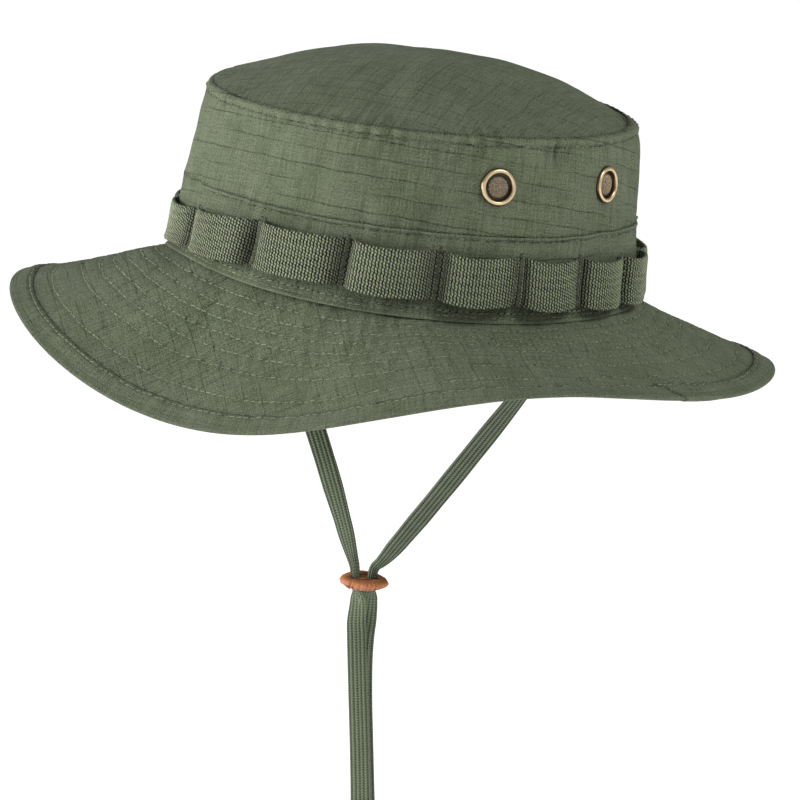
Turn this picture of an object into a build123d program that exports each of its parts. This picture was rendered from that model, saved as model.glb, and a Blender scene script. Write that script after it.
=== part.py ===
from build123d import *
import math
import os

# A boonie hat. Millimetres and degrees. +Z is up, -Y is the front, +X is the wearer's left.
# The origin is the middle of the head opening, on the seam between the crown and the brim.
# Directions round the hat are angles from the front, turning towards the wearer's left.

# Crown: an oval cone, given by the outside of its lower band, under a domed top.
BASE_X = 95.4
BASE_Y = 101.3
TOP_X = 90.3
TOP_Y = 90.5
CROWN_HEIGHT = 76.0
DOME_RISE = 19.5
DOME_THICKNESS = 1.2
BAND_HEIGHT = 34.9
SWEATBAND_HEIGHT = 32.0
SEAM_TAPE_HEIGHT = 10.0

# Cloth layers of the wall, from the outside in, each this far inside the last.
BAND_CLOTH = 0.8
PANEL_CLOTH = 0.9
SWEATBAND_CLOTH = 1.1
TAPE_CLOTH = 0.6
LAYER_GAP = 0.05
PANEL_INSET = BAND_CLOTH + LAYER_GAP
PANEL_INNER = PANEL_INSET + PANEL_CLOTH
SWEATBAND_INSET = PANEL_INNER + LAYER_GAP
WALL_THICKNESS = SWEATBAND_INSET + SWEATBAND_CLOTH

# Brim: 65 mm wide along the cloth. Its edge hangs below the crown seam by a mean drop and four
# waves, each a number of cycles round the hat, a depth, and the direction of its low points.
BRIM_WIDTH = 65.0
EDGE_DROP = 25.5
EDGE_WAVES = ((1, 3.0, 50), (2, 9.5, 15), (3, 4.0, 19), (4, 5.2, 12))
MIDDLE_SHARE = 0.6
BRIM_LAYER = 0.8
INTERLINING = 0.9
BRIM_STACK = 2 * BRIM_LAYER + INTERLINING + 2 * LAYER_GAP
BRIM_SECTIONS = 16
BINDING_WIDTH = 9.5
BINDING_TAPE = 0.6
BINDING_GAP = 0.15

# Webbing round the crown, tacked down at 17 places with an open loop between each two.
LOOPS = 17
FIRST_TACK = 9.5
TACK_CROWDING = 4.0
WEBBING_LOW = 8.0
WEBBING_HIGH = 28.0
WEBBING_THICKNESS = 1.3
LOOP_GAP = 4.8
TACK_HALF_WIDTH = 3.0
TACK_THREAD_WIDTH = 1.6
TACK_THREAD_HEIGHT = 0.5
TACK_THREAD_LENGTH = 17.0

# Vents: brass eyelets with a wire screen, two on each side.
VENT_HEIGHT = 55.4
VENT_DIRECTIONS = {"left_front": 67.6, "left_rear": 102.6, "right_front": -67.6, "right_rear": -102.6}
VENT_RIM_RADIUS = 7.5
VENT_HOLE_RADIUS = 5.7
VENT_BARREL_RADIUS = 5.6
VENT_BORE_RADIUS = 5.0
VENT_FLANGE = 1.2
VENT_STANDOFF = 0.4
WASHER_THICKNESS = 0.5
CLINCH_WIDTH = 1.0
SCREEN_THICKNESS = 0.4

# Chin strap: a flat braid, drawn as a round tube of the same section area.
CORD_DIAMETER = 4.6
HINGE_HEIGHT = -2.0
TAB_WIDTH = 14.0
TAB_HEIGHT = 19.0
TAB_CORNER = 2.0
TAB_CLOTH = 0.9
TAB_GAP = 0.3
LABEL_WIDTH = 30.0
LABEL_HEIGHT = 18.0
LABEL_CLOTH = 0.3
KEEPER_LENGTH = 21.0
KEEPER_WIDTH = 13.0
KEEPER_THICKNESS = 4.8
KEEPER_HOLE_RADIUS = 2.6
KEEPER_HOLE_OFFSET = 3.6


def half_axes(height, inset):
    share = height / CROWN_HEIGHT
    across = BASE_X + (TOP_X - BASE_X) * share - inset
    along = BASE_Y + (TOP_Y - BASE_Y) * share - inset
    return across, along


def outward(direction, height=0.0):
    """The level direction straight out of the wall."""
    across, along = half_axes(height, 0)
    angle = math.radians(direction)
    return Vector(along * math.sin(angle), -across * math.cos(angle), 0).normalized()


def wall_point(direction, height, outset):
    """A point this far outside the lower band's outer face."""
    across, along = half_axes(height, 0)
    angle = math.radians(direction)
    on_wall = Vector(across * math.sin(angle), -along * math.cos(angle), height)
    return on_wall + outward(direction, height) * outset


def wall_plane(direction, height, outset):
    """A plane that touches the wall there: local X is level, local Z points out of the wall."""
    here = wall_point(direction, height, outset)
    rising = wall_point(direction, height + 1, outset) - here
    level = Vector(0, 0, 1).cross(outward(direction, height))
    return Plane(origin=here, x_dir=level, z_dir=level.cross(rising))


def brim_plane(direction):
    """An upright plane that cuts the brim there: local X is outward, local Y is up."""
    out = outward(direction)
    return Plane(origin=wall_point(direction, 0, 0), x_dir=out, z_dir=out.cross(Vector(0, 0, 1)))


def edge_drop(direction):
    waves = (depth * math.cos(math.radians(cycles * (direction - low))) for cycles, depth, low in EDGE_WAVES)
    return EDGE_DROP + sum(waves)


def edge_reach(direction):
    """How far out the brim's edge lies, so that the cloth is BRIM_WIDTH wide on its slope."""
    return math.sqrt(BRIM_WIDTH**2 - edge_drop(direction) ** 2)


def brim_height(direction, out):
    """The height of the brim's upper face, an arc that steepens towards the crown."""
    reach, drop = edge_reach(direction), edge_drop(direction)
    seam = (-PANEL_INNER, -LAYER_GAP)
    edge = (reach, -drop)
    middle = (reach / 2, -MIDDLE_SHARE * drop)
    # The centre of the arc is as far from all three of its points.
    ax, ay = middle[0] - seam[0], middle[1] - seam[1]
    bx, by = edge[0] - middle[0], edge[1] - middle[1]
    a_square = (middle[0] ** 2 + middle[1] ** 2 - seam[0] ** 2 - seam[1] ** 2) / 2
    b_square = (edge[0] ** 2 + edge[1] ** 2 - middle[0] ** 2 - middle[1] ** 2) / 2
    centre_x = (a_square * by - b_square * ay) / (ax * by - bx * ay)
    centre_y = (ax * b_square - bx * a_square) / (ax * by - bx * ay)
    radius = math.hypot(reach - centre_x, drop + centre_y)
    return centre_y - math.sqrt(radius**2 - (out - centre_x) ** 2)


def brim_arc(direction, start, end, level):
    """Three points of the brim's curve between two distances out, this far below its upper face."""
    return [(out, brim_height(direction, out) - level) for out in (start, (start + end) / 2, end)]


def tack_direction(number):
    even = FIRST_TACK + number * 360 / LOOPS
    return even + TACK_CROWDING * math.sin(math.radians(2 * even))


def save(builder, label):
    builder.part.label = label
    export_step(builder.part, f"parts/{label}.step")


def make_wall_ring(label, inset, thickness, low, high):
    """A tapered oval ring of cloth."""
    with BuildPart() as ring:
        for face_inset, mode in ((inset, Mode.ADD), (inset + thickness, Mode.SUBTRACT)):
            for height in (low, high):
                with BuildSketch(Plane.XY.offset(height)):
                    Ellipse(*half_axes(height, face_inset))
            loft(mode=mode)
    save(ring, label)


def make_side_panel():
    with BuildPart() as panel:
        for face_inset, mode in ((PANEL_INSET, Mode.ADD), (PANEL_INNER, Mode.SUBTRACT)):
            for height in (0, CROWN_HEIGHT):
                with BuildSketch(Plane.XY.offset(height)):
                    Ellipse(*half_axes(height, face_inset))
            loft(mode=mode)
        for direction in VENT_DIRECTIONS.values():
            with BuildSketch(wall_plane(direction, VENT_HEIGHT, 0)):
                Circle(VENT_HOLE_RADIUS)
            extrude(amount=2 * PANEL_INNER, both=True, mode=Mode.SUBTRACT)
    save(panel, "crown_side_panel")


def make_top_panel():
    """A shallow dome of cloth that stands on the wall's upper edge."""
    rim = min(half_axes(CROWN_HEIGHT, PANEL_INSET))
    halfway = rim / 2
    low = CROWN_HEIGHT + LAYER_GAP
    ball = (rim**2 + DOME_RISE**2) / (2 * DOME_RISE)
    rise = DOME_RISE - ball + math.sqrt(ball**2 - halfway**2)
    with BuildPart() as dome:
        with BuildSketch(Plane.XZ):
            with BuildLine():
                outer = ThreePointArc(
                    (rim, low + DOME_THICKNESS),
                    (halfway, low + DOME_THICKNESS + rise),
                    (0, low + DOME_THICKNESS + DOME_RISE),
                )
                inner = ThreePointArc((0, low + DOME_RISE), (halfway, low + rise), (rim, low))
                Line(outer @ 1, inner @ 0)
                Line(inner @ 1, outer @ 0)
            make_face()
        revolve(axis=Axis.Z)
    save(dome, "crown_top_panel")


def make_foliage_band():
    """Webbing that lies on the crown at each tack and bows out between tacks."""
    with BuildPart() as band:
        for outset, mode in ((WEBBING_THICKNESS, Mode.ADD), (0, Mode.SUBTRACT)):
            for height in (WEBBING_LOW, WEBBING_HIGH):
                with BuildSketch(Plane.XY.offset(height)):
                    with BuildLine():
                        for number in range(LOOPS):
                            here, after = tack_direction(number), tack_direction(number + 1)
                            half_turn = math.degrees(TACK_HALF_WIDTH / BASE_Y)
                            tack_start = wall_point(here - half_turn, height, LAYER_GAP + outset)
                            tack_end = wall_point(here + half_turn, height, LAYER_GAP + outset)
                            next_start = wall_point(after - half_turn, height, LAYER_GAP + outset)
                            crest = wall_point((here + after) / 2, WEBBING_LOW, LOOP_GAP + outset)
                            Line(flat(tack_start), flat(tack_end))
                            ThreePointArc(flat(tack_end), flat(crest), flat(next_start))
                    make_face()
            loft(ruled=True, mode=mode)
    save(band, "foliage_band")


def flat(point):
    return point.X, point.Y


def make_bartacks():
    outset = 2 * LAYER_GAP + WEBBING_THICKNESS + TACK_THREAD_HEIGHT / 2
    middle = (WEBBING_LOW + WEBBING_HIGH) / 2
    places = [wall_plane(tack_direction(number), middle, outset) for number in range(LOOPS)]
    with BuildPart() as tacks:
        with Locations(*places):
            Box(TACK_THREAD_WIDTH, TACK_THREAD_LENGTH, TACK_THREAD_HEIGHT)
    save(tacks, "foliage_bartacks")


def make_brim_layer(label, depth, thickness):
    """One layer of the brim, this far below its upper face, as two half rings joined."""
    with BuildPart() as layer:
        for start in (0, 180):
            for number in range(BRIM_SECTIONS + 1):
                direction = start + number * 180 / BRIM_SECTIONS
                end = edge_reach(direction) - BINDING_TAPE - BINDING_GAP
                with BuildSketch(brim_plane(direction)):
                    with BuildLine():
                        upper = ThreePointArc(*brim_arc(direction, -PANEL_INNER, end, depth))
                        lower = ThreePointArc(*brim_arc(direction, -PANEL_INNER, end, depth + thickness))
                        Line(upper @ 0, lower @ 0)
                        Line(upper @ 1, lower @ 1)
                    make_face()
            loft()
    save(layer, label)


def make_binding():
    """Tape folded over the brim's edge, a U in section."""
    with BuildPart() as binding:
        for start in (0, 180):
            for number in range(BRIM_SECTIONS + 1):
                direction = start + number * 180 / BRIM_SECTIONS
                end = edge_reach(direction)
                start_out = end - BINDING_WIDTH
                fold = end - BINDING_TAPE
                top = -BINDING_GAP - BINDING_TAPE
                low = BRIM_STACK + BINDING_GAP + BINDING_TAPE
                with BuildSketch(brim_plane(direction)):
                    with BuildLine():
                        outer_top = ThreePointArc(*brim_arc(direction, start_out, end, top))
                        inner_top = ThreePointArc(*brim_arc(direction, start_out, fold, -BINDING_GAP))
                        inner_low = ThreePointArc(
                            *brim_arc(direction, start_out, fold, BRIM_STACK + BINDING_GAP)
                        )
                        outer_low = ThreePointArc(*brim_arc(direction, start_out, end, low))
                        Line(outer_top @ 0, inner_top @ 0)
                        Line(inner_top @ 1, inner_low @ 1)
                        Line(inner_low @ 0, outer_low @ 0)
                        Line(outer_low @ 1, outer_top @ 1)
                    make_face()
            loft()
    save(binding, "brim_binding")


def make_vent(name, direction):
    """An eyelet with a domed lip and a clinched end, its washer, and the screen across its bore."""
    place = wall_plane(direction, VENT_HEIGHT, -PANEL_INSET)
    sag = VENT_RIM_RADIUS**2 / (2 * BASE_X)
    washer_top = -PANEL_CLOTH - sag - LAYER_GAP
    washer_low = washer_top - WASHER_THICKNESS
    clinch_top = washer_low - LAYER_GAP
    clinch_low = clinch_top - WASHER_THICKNESS
    lip_low = VENT_STANDOFF
    lip_top = VENT_STANDOFF + VENT_FLANGE
    section = Plane(origin=place.origin, x_dir=place.x_dir, z_dir=-place.y_dir)
    turn = Axis(place.origin, place.z_dir)
    with BuildPart() as rim:
        with BuildSketch(section):
            with BuildLine():
                lip = ThreePointArc(
                    (VENT_BORE_RADIUS, lip_low + VENT_FLANGE / 2),
                    ((VENT_BORE_RADIUS + VENT_RIM_RADIUS) / 2, lip_top),
                    (VENT_RIM_RADIUS, lip_low),
                )
                Polyline(
                    lip @ 1,
                    (VENT_BARREL_RADIUS, lip_low),
                    (VENT_BARREL_RADIUS, clinch_top),
                    (VENT_BARREL_RADIUS + CLINCH_WIDTH, clinch_top),
                    (VENT_BARREL_RADIUS + CLINCH_WIDTH, clinch_low),
                    (VENT_BORE_RADIUS, clinch_low),
                    lip @ 0,
                )
            make_face()
        revolve(axis=turn)
    save(rim, f"vent_rim_{name}")
    with BuildPart() as washer:
        with BuildSketch(place.offset(washer_low)):
            Circle(VENT_RIM_RADIUS)
            Circle(VENT_BARREL_RADIUS + LAYER_GAP, mode=Mode.SUBTRACT)
        extrude(amount=WASHER_THICKNESS)
    save(washer, f"vent_washer_{name}")
    with BuildPart() as screen:
        with BuildSketch(place.offset(-PANEL_CLOTH)):
            Circle(VENT_BORE_RADIUS - LAYER_GAP)
        extrude(amount=SCREEN_THICKNESS)
    save(screen, f"vent_screen_{name}")


def make_chin_tab(label, direction):
    """A cloth tab on the sweatband's inner face that holds one end of the cord."""
    middle = TAB_HEIGHT / 2 + 2 * HINGE_HEIGHT
    with BuildPart() as tab:
        with BuildSketch(wall_plane(direction, middle, -WALL_THICKNESS - TAB_GAP)):
            RectangleRounded(TAB_WIDTH, TAB_HEIGHT, TAB_CORNER)
        extrude(amount=-TAB_CLOTH)
    save(tab, label)


def make_size_label():
    """A blank cloth tag on the sweatband's inner face, at the back."""
    outer = WALL_THICKNESS + LAYER_GAP
    with BuildPart() as label:
        for inset, mode in ((outer, Mode.ADD), (outer + LABEL_CLOTH, Mode.SUBTRACT)):
            for height in (0, SWEATBAND_HEIGHT):
                with BuildSketch(Plane.XY.offset(height)):
                    Ellipse(*half_axes(height, inset))
            loft(mode=mode)
        with Locations((0, BASE_Y, SWEATBAND_HEIGHT / 2)):
            Box(LABEL_WIDTH, BASE_Y, LABEL_HEIGHT, mode=Mode.INTERSECT)
    save(label, "size_label")


# The chin strap hangs from the hinge line and leans a little, as a limp strap does.
STRAP_DOWN = Vector(0.065, 0.070, -1).normalized()
KEEPER_AT = Vector(-16.2, 9.9, -136)
KEEPER_LONG = Vector(0.686, 0.728, 0.0955).normalized()
KEEPER_SHORT = KEEPER_LONG.cross(STRAP_DOWN)


def strap_point(along, across, below):
    """A point of the strap measured from the keeper's middle."""
    return KEEPER_AT + KEEPER_LONG * along + KEEPER_SHORT * across + STRAP_DOWN * below


RIGHT_LEG = [
    Vector(-88.4, 0.0, HINGE_HEIGHT),
    Vector(-88.2, 0.8, -11.0),
    Vector(-82.0, 1.9, -27.0),
    Vector(-66.5, 3.9, -52.0),
    Vector(-49.2, 5.6, -79.0),
    Vector(-33.0, 7.2, -107.5),
    Vector(-22.8, 7.4, -125.5),
    strap_point(-KEEPER_HOLE_OFFSET, 0.0, -5.6),
    strap_point(-KEEPER_HOLE_OFFSET, 0.0, 0.0),
]
LEFT_LEG = [
    Vector(88.4, 0.0, HINGE_HEIGHT),
    Vector(88.6, 0.9, -11.0),
    Vector(80.5, 2.0, -26.5),
    Vector(58.2, 3.8, -53.0),
    Vector(27.4, 6.2, -89.0),
    Vector(4.0, 9.0, -114.5),
    Vector(-6.2, 10.7, -125.0),
    strap_point(KEEPER_HOLE_OFFSET, 0.0, -5.6),
    strap_point(KEEPER_HOLE_OFFSET, 0.0, 0.0),
]
TAIL = [
    strap_point(-KEEPER_HOLE_OFFSET, 0.0, 0.0),
    strap_point(-KEEPER_HOLE_OFFSET, 0.0, 8.0),
    strap_point(-3.3, -2.0, 20.0),
    strap_point(-2.9, -2.9, 43.0),
    strap_point(-1.8, -3.1, 87.0),
    strap_point(-1.7, -2.9, 134.0),
    strap_point(-5.0, -2.4, 172.0),
    strap_point(-13.0, -1.5, 197.0),
    strap_point(-20.0, -0.6, 219.0),
    strap_point(-12.5, 0.0, 240.0),
    strap_point(12.0, 0.2, 240.0),
    strap_point(20.0, 0.8, 219.0),
    strap_point(13.0, 1.6, 197.0),
    strap_point(4.6, 2.5, 172.0),
    strap_point(0.9, 2.9, 134.0),
    strap_point(-0.2, 3.1, 87.0),
    strap_point(-1.4, 2.9, 43.0),
    strap_point(0.2, 2.0, 20.0),
    strap_point(KEEPER_HOLE_OFFSET, 0.0, 8.0),
    strap_point(KEEPER_HOLE_OFFSET, 0.0, 0.0),
]


def bend_radii(route):
    """The largest radius that each corner's two runs leave room for."""
    radii = []
    for before, corner, after in zip(route, route[1:], route[2:]):
        shorter = min((corner - before).length, (after - corner).length)
        half_turn = math.radians((corner - before).get_angle(after - corner)) / 2
        radii.append(0.45 * shorter / math.tan(half_turn))
    return radii


def make_cord(label, route):
    radii = bend_radii(route)
    with BuildPart() as cord:
        with BuildLine() as path:
            FilletPolyline(*route, radius=radii)
        with BuildSketch(Plane(origin=route[0], z_dir=route[1] - route[0])):
            Circle(CORD_DIAMETER / 2)
        sweep(path=path.wires()[0])
    save(cord, label)
    length = path.wires()[0].length
    section = math.pi * CORD_DIAMETER**2 / 4
    print(label, "length", round(length, 1), "radii", [round(radius, 1) for radius in radii])
    print(label, "volume", round(cord.part.volume, 1), "section times length", round(section * length, 1))


def make_keeper():
    """An oval leather slide with a hole for each strand."""
    middle = Plane(origin=KEEPER_AT, x_dir=KEEPER_LONG, z_dir=STRAP_DOWN)
    with BuildPart() as keeper:
        with BuildSketch(middle):
            Ellipse(KEEPER_LENGTH / 2, KEEPER_WIDTH / 2)
            with Locations((-KEEPER_HOLE_OFFSET, 0), (KEEPER_HOLE_OFFSET, 0)):
                Circle(KEEPER_HOLE_RADIUS, mode=Mode.SUBTRACT)
        extrude(amount=KEEPER_THICKNESS / 2, both=True)
    save(keeper, "chin_keeper")


os.makedirs("parts", exist_ok=True)
make_top_panel()
make_side_panel()
make_wall_ring("crown_lower_band", 0, BAND_CLOTH, 0, BAND_HEIGHT)
make_wall_ring("sweatband", SWEATBAND_INSET, SWEATBAND_CLOTH, 0, SWEATBAND_HEIGHT)
make_wall_ring(
    "crown_top_seam_tape",
    PANEL_INNER + LAYER_GAP,
    TAPE_CLOTH,
    CROWN_HEIGHT - SEAM_TAPE_HEIGHT,
    CROWN_HEIGHT,
)
make_size_label()
make_foliage_band()
make_bartacks()
make_brim_layer("brim_top_layer", 0, BRIM_LAYER)
make_brim_layer("brim_interlining", BRIM_LAYER + LAYER_GAP, INTERLINING)
make_brim_layer("brim_bottom_layer", BRIM_STACK - BRIM_LAYER, BRIM_LAYER)
make_binding()
for vent_name, vent_direction in VENT_DIRECTIONS.items():
    make_vent(vent_name, vent_direction)
make_chin_tab("chin_tab_left", 90)
make_chin_tab("chin_tab_right", -90)
make_cord("chin_cord_left_leg", LEFT_LEG)
make_cord("chin_cord_right_leg", RIGHT_LEG)
make_cord("chin_cord_tail", TAIL)
make_keeper()
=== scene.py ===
import math

import bmesh
import bpy
import numpy as np
from mathutils import Matrix, Vector


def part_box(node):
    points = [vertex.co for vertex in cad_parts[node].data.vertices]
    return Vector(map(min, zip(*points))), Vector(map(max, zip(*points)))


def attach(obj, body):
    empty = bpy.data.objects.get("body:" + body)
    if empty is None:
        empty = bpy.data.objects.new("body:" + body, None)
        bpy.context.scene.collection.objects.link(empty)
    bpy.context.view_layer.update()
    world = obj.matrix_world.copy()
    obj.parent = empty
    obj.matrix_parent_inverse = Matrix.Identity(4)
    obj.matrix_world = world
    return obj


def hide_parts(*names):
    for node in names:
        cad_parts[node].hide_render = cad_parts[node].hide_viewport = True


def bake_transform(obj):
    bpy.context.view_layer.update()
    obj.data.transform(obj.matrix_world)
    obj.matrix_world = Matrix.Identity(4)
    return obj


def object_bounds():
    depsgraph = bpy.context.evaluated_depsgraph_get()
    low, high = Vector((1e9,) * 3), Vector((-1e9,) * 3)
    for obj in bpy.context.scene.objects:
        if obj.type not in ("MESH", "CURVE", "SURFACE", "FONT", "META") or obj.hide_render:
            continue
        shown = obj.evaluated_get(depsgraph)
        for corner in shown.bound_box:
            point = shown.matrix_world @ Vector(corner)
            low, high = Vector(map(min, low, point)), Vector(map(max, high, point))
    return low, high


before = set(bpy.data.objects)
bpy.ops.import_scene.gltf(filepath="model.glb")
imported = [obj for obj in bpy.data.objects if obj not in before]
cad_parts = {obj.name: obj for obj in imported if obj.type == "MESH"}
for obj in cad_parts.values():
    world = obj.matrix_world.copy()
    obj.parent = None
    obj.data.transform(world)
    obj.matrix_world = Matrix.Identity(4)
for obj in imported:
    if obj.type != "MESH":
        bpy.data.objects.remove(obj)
CAD_LOW, CAD_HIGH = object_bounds()

# A boonie hat's looks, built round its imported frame. Shape functions work in millimetres and degrees,
# and make_object turns them into metres. Directions are angles from the front (-Y), turning towards the
# wearer's left (+X). "out" is how far a point lies outside the face of the crown's lower band.
MM = 0.001
SEED = 20


def node_box(name):
    """The lowest and highest corner of a CAD node, in millimetres."""
    low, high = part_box(name)
    return np.array(low) / MM, np.array(high) / MM


# Crown, read from the frame.
BASE_X, BASE_Y = node_box("crown_lower_band")[1][:2]
DOME_LOW, DOME_HIGH = node_box("crown_top_panel")
BAND_HEIGHT = node_box("crown_lower_band")[1][2]
SWEATBAND_HEIGHT = node_box("sweatband")[1][2]
PANEL_OUT = -0.85
PANEL_INNER = -1.75
DOME_CLOTH = 1.2
TOP_X = DOME_HIGH[0] - PANEL_OUT
TOP_Y = TOP_X + 0.2
CROWN_HEIGHT = DOME_LOW[2]
DOME_RISE = DOME_HIGH[2] - DOME_LOW[2] - DOME_CLOTH
# The side panel's grain rises away from its middle, by this much times the square of the distance.
GRAIN_TURN = 0.0006
GRAIN_MIDDLE = 35.0
# The soft crown leans and dips a little from the frame's even shape.
TOP_LEAN_X = 1.8
TOP_LEAN_Y = 1.9
CORNER_CURL = 1.2
CORNER_CURL_FROM = 2.6

# Cloth thicknesses and the gaps between layers.
WALL_CLOTH = 0.85
BAND_CLOTH = 0.8
TAPE_CLOTH = 0.6
SWEATBAND_CLOTH = 1.1
BRIM_CLOTH = 0.8
LAYER_GAP = 0.05
BRIM_STACK = 2.6

# Stitching, and its rows on the crown by height above the base seam.
STITCH_PITCH = 2.9
TOP_STITCH = CROWN_HEIGHT - 4.2
FOLD_STITCH = BAND_HEIGHT - 1.7
BASE_STITCHES = (1.7, 3.7)

# Local changes of the shape: how much in millimetres, in which direction, and over what width in degrees.
# At the front the base seam is sewn on higher still, which pulls the brim up with it.
SEAM_LIFTS = ((3.8, -22, 28),)
# Towards the back on the wearer's left the top seam has slumped inwards.
CORNER_SLUMPS = ((3.3, 140, 30),)
# The band and its webbing lie closer to the head at the front, on the wearer's right.
BAND_PRESSES = ((1.5, -43, 32),)
# The webbing is sewn on lower towards the back on the wearer's left and at the front.
WEBBING_DIPS = ((5.4, 132, 42), (4.4, -24, 32), (-1.6, 8, 26))
# The brim's edge hangs lower in one place at the front, and higher beside it.
EDGE_DIPS = ((1.2, 31, 15), (-1.4, 68, 14))

# Brim: cloth width, the drop of its edge with four waves (cycles, depth, direction of the low points).
BRIM_WIDTH = 65.0
EDGE_DROP = 25.5
EDGE_WAVES = ((1, 3.0, 50), (2, 9.5, 15), (3, 4.0, 19), (4, 5.2, 12))
EDGE_TRIM = 1.3
EDGE_PRESS = 0.5
MIDDLE_SHARE = 0.6
QUILTING_ROWS = (6.5, 12.2, 17.5, 23.0, 29.0, 36.0, 47.8)
BINDING_WIDTH = 9.5
BINDING_ROW = 56.9
BINDING_GAP = 0.15
FOLD_DEPTH = 1.1
FOLD_SHARE = 0.15
BINDING_LAP = 92.5
LAP_SLANT = 0.35

# Webbing: 17 tacks, with a loop after each.
LOOPS = 17
FIRST_TACK = 9.5
TACK_CROWDING = 4.0
TACK_HALF_WIDTH = 1.3
WEBBING_LOW = node_box("foliage_band")[0][2]
WEBBING_WIDTH = node_box("foliage_band")[1][2] - WEBBING_LOW
WEBBING_THICKNESS = 1.3
# For each loop: how far it stands off, where its crest lies between its tacks, and how far it sags.
LOOP_SHAPES = (
    (5.6, 0.46, 0.5), (6.0, 0.45, 0.7), (5.8, 0.48, 1.1), (5.2, 0.46, 1.4),
    (5.0, 0.44, 0.9), (4.6, 0.42, 0.7), (3.6, 0.5, 0.9), (5.0, 0.55, 0.8),
    (4.4, 0.45, 1.3), (4.9, 0.5, 0.9), (5.2, 0.58, 0.7), (4.6, 0.42, 1.2),
    (4.3, 0.5, 1.0), (4.9, 0.47, 0.9), (2.2, 0.55, 0.8), (3.4, 0.5, 0.5),
    (5.2, 0.58, 0.4),
)
RIB_PITCH = 1.36
RIB_DEPTH = 0.22
RIB_SWAY = 0.16
SLASH_PITCH = 1.3

# Vents.
VENTS = {"left_front": 67.6, "left_rear": 102.6, "right_front": -67.6, "right_rear": -102.6}
VENT_HEIGHT = 55.4
VENT_RIM = (node_box("vent_rim_left_front")[1][2] - node_box("vent_rim_left_front")[0][2]) / 2
VENT_BORE = VENT_RIM - 2.2
VENT_HOLE = VENT_BORE + 0.9
VENT_WIRES = 17
WIRE_RADIUS = 0.19
WIRE_SIDES = 5
WIRE_LIFT = 0.16
SCREEN_DOME = 1.5

# Chin strap: the flat braid's size, its width where it passes the slide, and how far each of the slide's
# holes lies from its middle.
BRAID_WIDTH = 9.0
BRAID_THICKNESS = 2.2
BRAID_THROAT = 4.3
KEEPER_HOLE = 3.6

AROUND = 640


# ---------------------------------------------------------------------------------------------- shapes
class Ripples:
    """A smooth random field on the cloth: a sum of waves that close on themselves round the hat."""

    def __init__(self, seed, fewest, most, across, count=26):
        draw = np.random.default_rng(SEED + seed)
        self.cycles = draw.integers(fewest, most + 1, count)
        self.slope = draw.normal(0, 1 / across, count)
        self.phase = draw.uniform(0, 2 * math.pi, count)

    def __call__(self, direction, place=0.0):
        angle = np.radians(direction)
        total = 0.0
        for cycles, slope, phase in zip(self.cycles, self.slope, self.phase):
            total = total + np.cos(cycles * angle + slope * place + phase)
        return total * math.sqrt(2 / len(self.cycles))


def smooth_step(value):
    value = np.clip(value, 0, 1)
    return value * value * (3 - 2 * value)


def bump_at(value, middle, width):
    return np.exp(-(((value - middle) / width) ** 2))


def turn_between(direction, middle):
    """How far a direction lies from another, from -180 to 180."""
    return (direction - middle + 180) % 360 - 180


def towards(direction, middle, width):
    """1 in one direction, falling smoothly to 0 on both sides over a width in degrees."""
    return bump_at(turn_between(direction, middle), 0, width)


def local_sum(direction, changes):
    """The sum of some local changes: how much, in which direction, and over what width."""
    return sum(amount * towards(direction, middle, width) for amount, middle, width in changes)


def outward(direction):
    angle = np.radians(direction)
    x = BASE_Y * np.sin(angle)
    y = -BASE_X * np.cos(angle)
    length = np.hypot(x, y)
    return x / length, y / length


def seam_rise(direction):
    """How far the crown's base seam lies above the level of the head opening."""
    angle = np.radians(direction)
    slow = 3.3 * np.cos(angle) + 0.8 * np.sin(angle)
    return slow + 1.4 * np.cos(2 * angle) - 2.5 * np.sin(2 * angle)


def top_seam(direction):
    angle = np.radians(direction)
    return CROWN_HEIGHT + 0.3 - 2.9 * np.cos(angle) - 4.0 * np.sin(angle)


def wall(direction, height, out):
    """A point of the crown's wall. Height runs from 0 at the base seam to CROWN_HEIGHT at the top seam."""
    share = height / CROWN_HEIGHT
    angle = np.radians(direction)
    side_x, side_y = outward(direction)
    x = (BASE_X + (TOP_X - BASE_X) * share) * np.sin(angle) + TOP_LEAN_X * share + out * side_x
    y = -(BASE_Y + (TOP_Y - BASE_Y) * share) * np.cos(angle) + TOP_LEAN_Y * share + out * side_y
    z = seam_rise(direction) + (top_seam(direction) - seam_rise(direction)) * share
    z = z + local_sum(direction, SEAM_LIFTS) * (1 - smooth_step(height / 14))
    return np.stack(np.broadcast_arrays(x, y, z), -1)


wall_broad = Ripples(1, 2, 9, 30)
wall_soft = Ripples(2, 10, 36, 9)
wall_fine = Ripples(3, 40, 90, 5)
seam_puckers = Ripples(4, 46, 105, 30)
fold_puckers = Ripples(5, 40, 95, 26)
base_puckers = Ripples(6, 30, 80, 22)
# For each puckered seam of the wall: its puckers, their depth, its height, and how far the puckers reach.
PUCKERED_SEAMS = (
    (seam_puckers, 0.42, CROWN_HEIGHT - 2.0, 4.5),
    (fold_puckers, 0.30, BAND_HEIGHT, 4.0),
    (base_puckers, 0.24, 3.0, 3.0),
)


def wall_relief(direction, height):
    """How far the crown's cloth stands out of its even shape: slack, wrinkles and sewing puckers."""
    below_top = CROWN_HEIGHT - height
    slack = smooth_step(below_top / 14) * smooth_step(height / 12)
    relief = 0.75 * wall_broad(direction, height) * slack
    soft = wall_soft(direction, height)
    relief += slack * 0.36 * soft
    # Sharp little creases where the soft waves turn over.
    crease = 1 - np.sqrt(soft**2 + 0.02)
    crumpled = towards(direction, 92, 14) * bump_at(height, 44, 9)
    relief += slack * crease * (0.25 + 0.6 * crumpled)
    relief += 0.06 * wall_fine(direction, height)
    for puckers, depth, seam, reach in PUCKERED_SEAMS:
        relief += depth * puckers(direction) * np.exp(-np.abs(height - seam) / reach)
    dimple = towards(direction, 83.5, 1.5) * bump_at(below_top, 7, 5)
    relief -= 1.9 * dimple
    return relief


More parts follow.
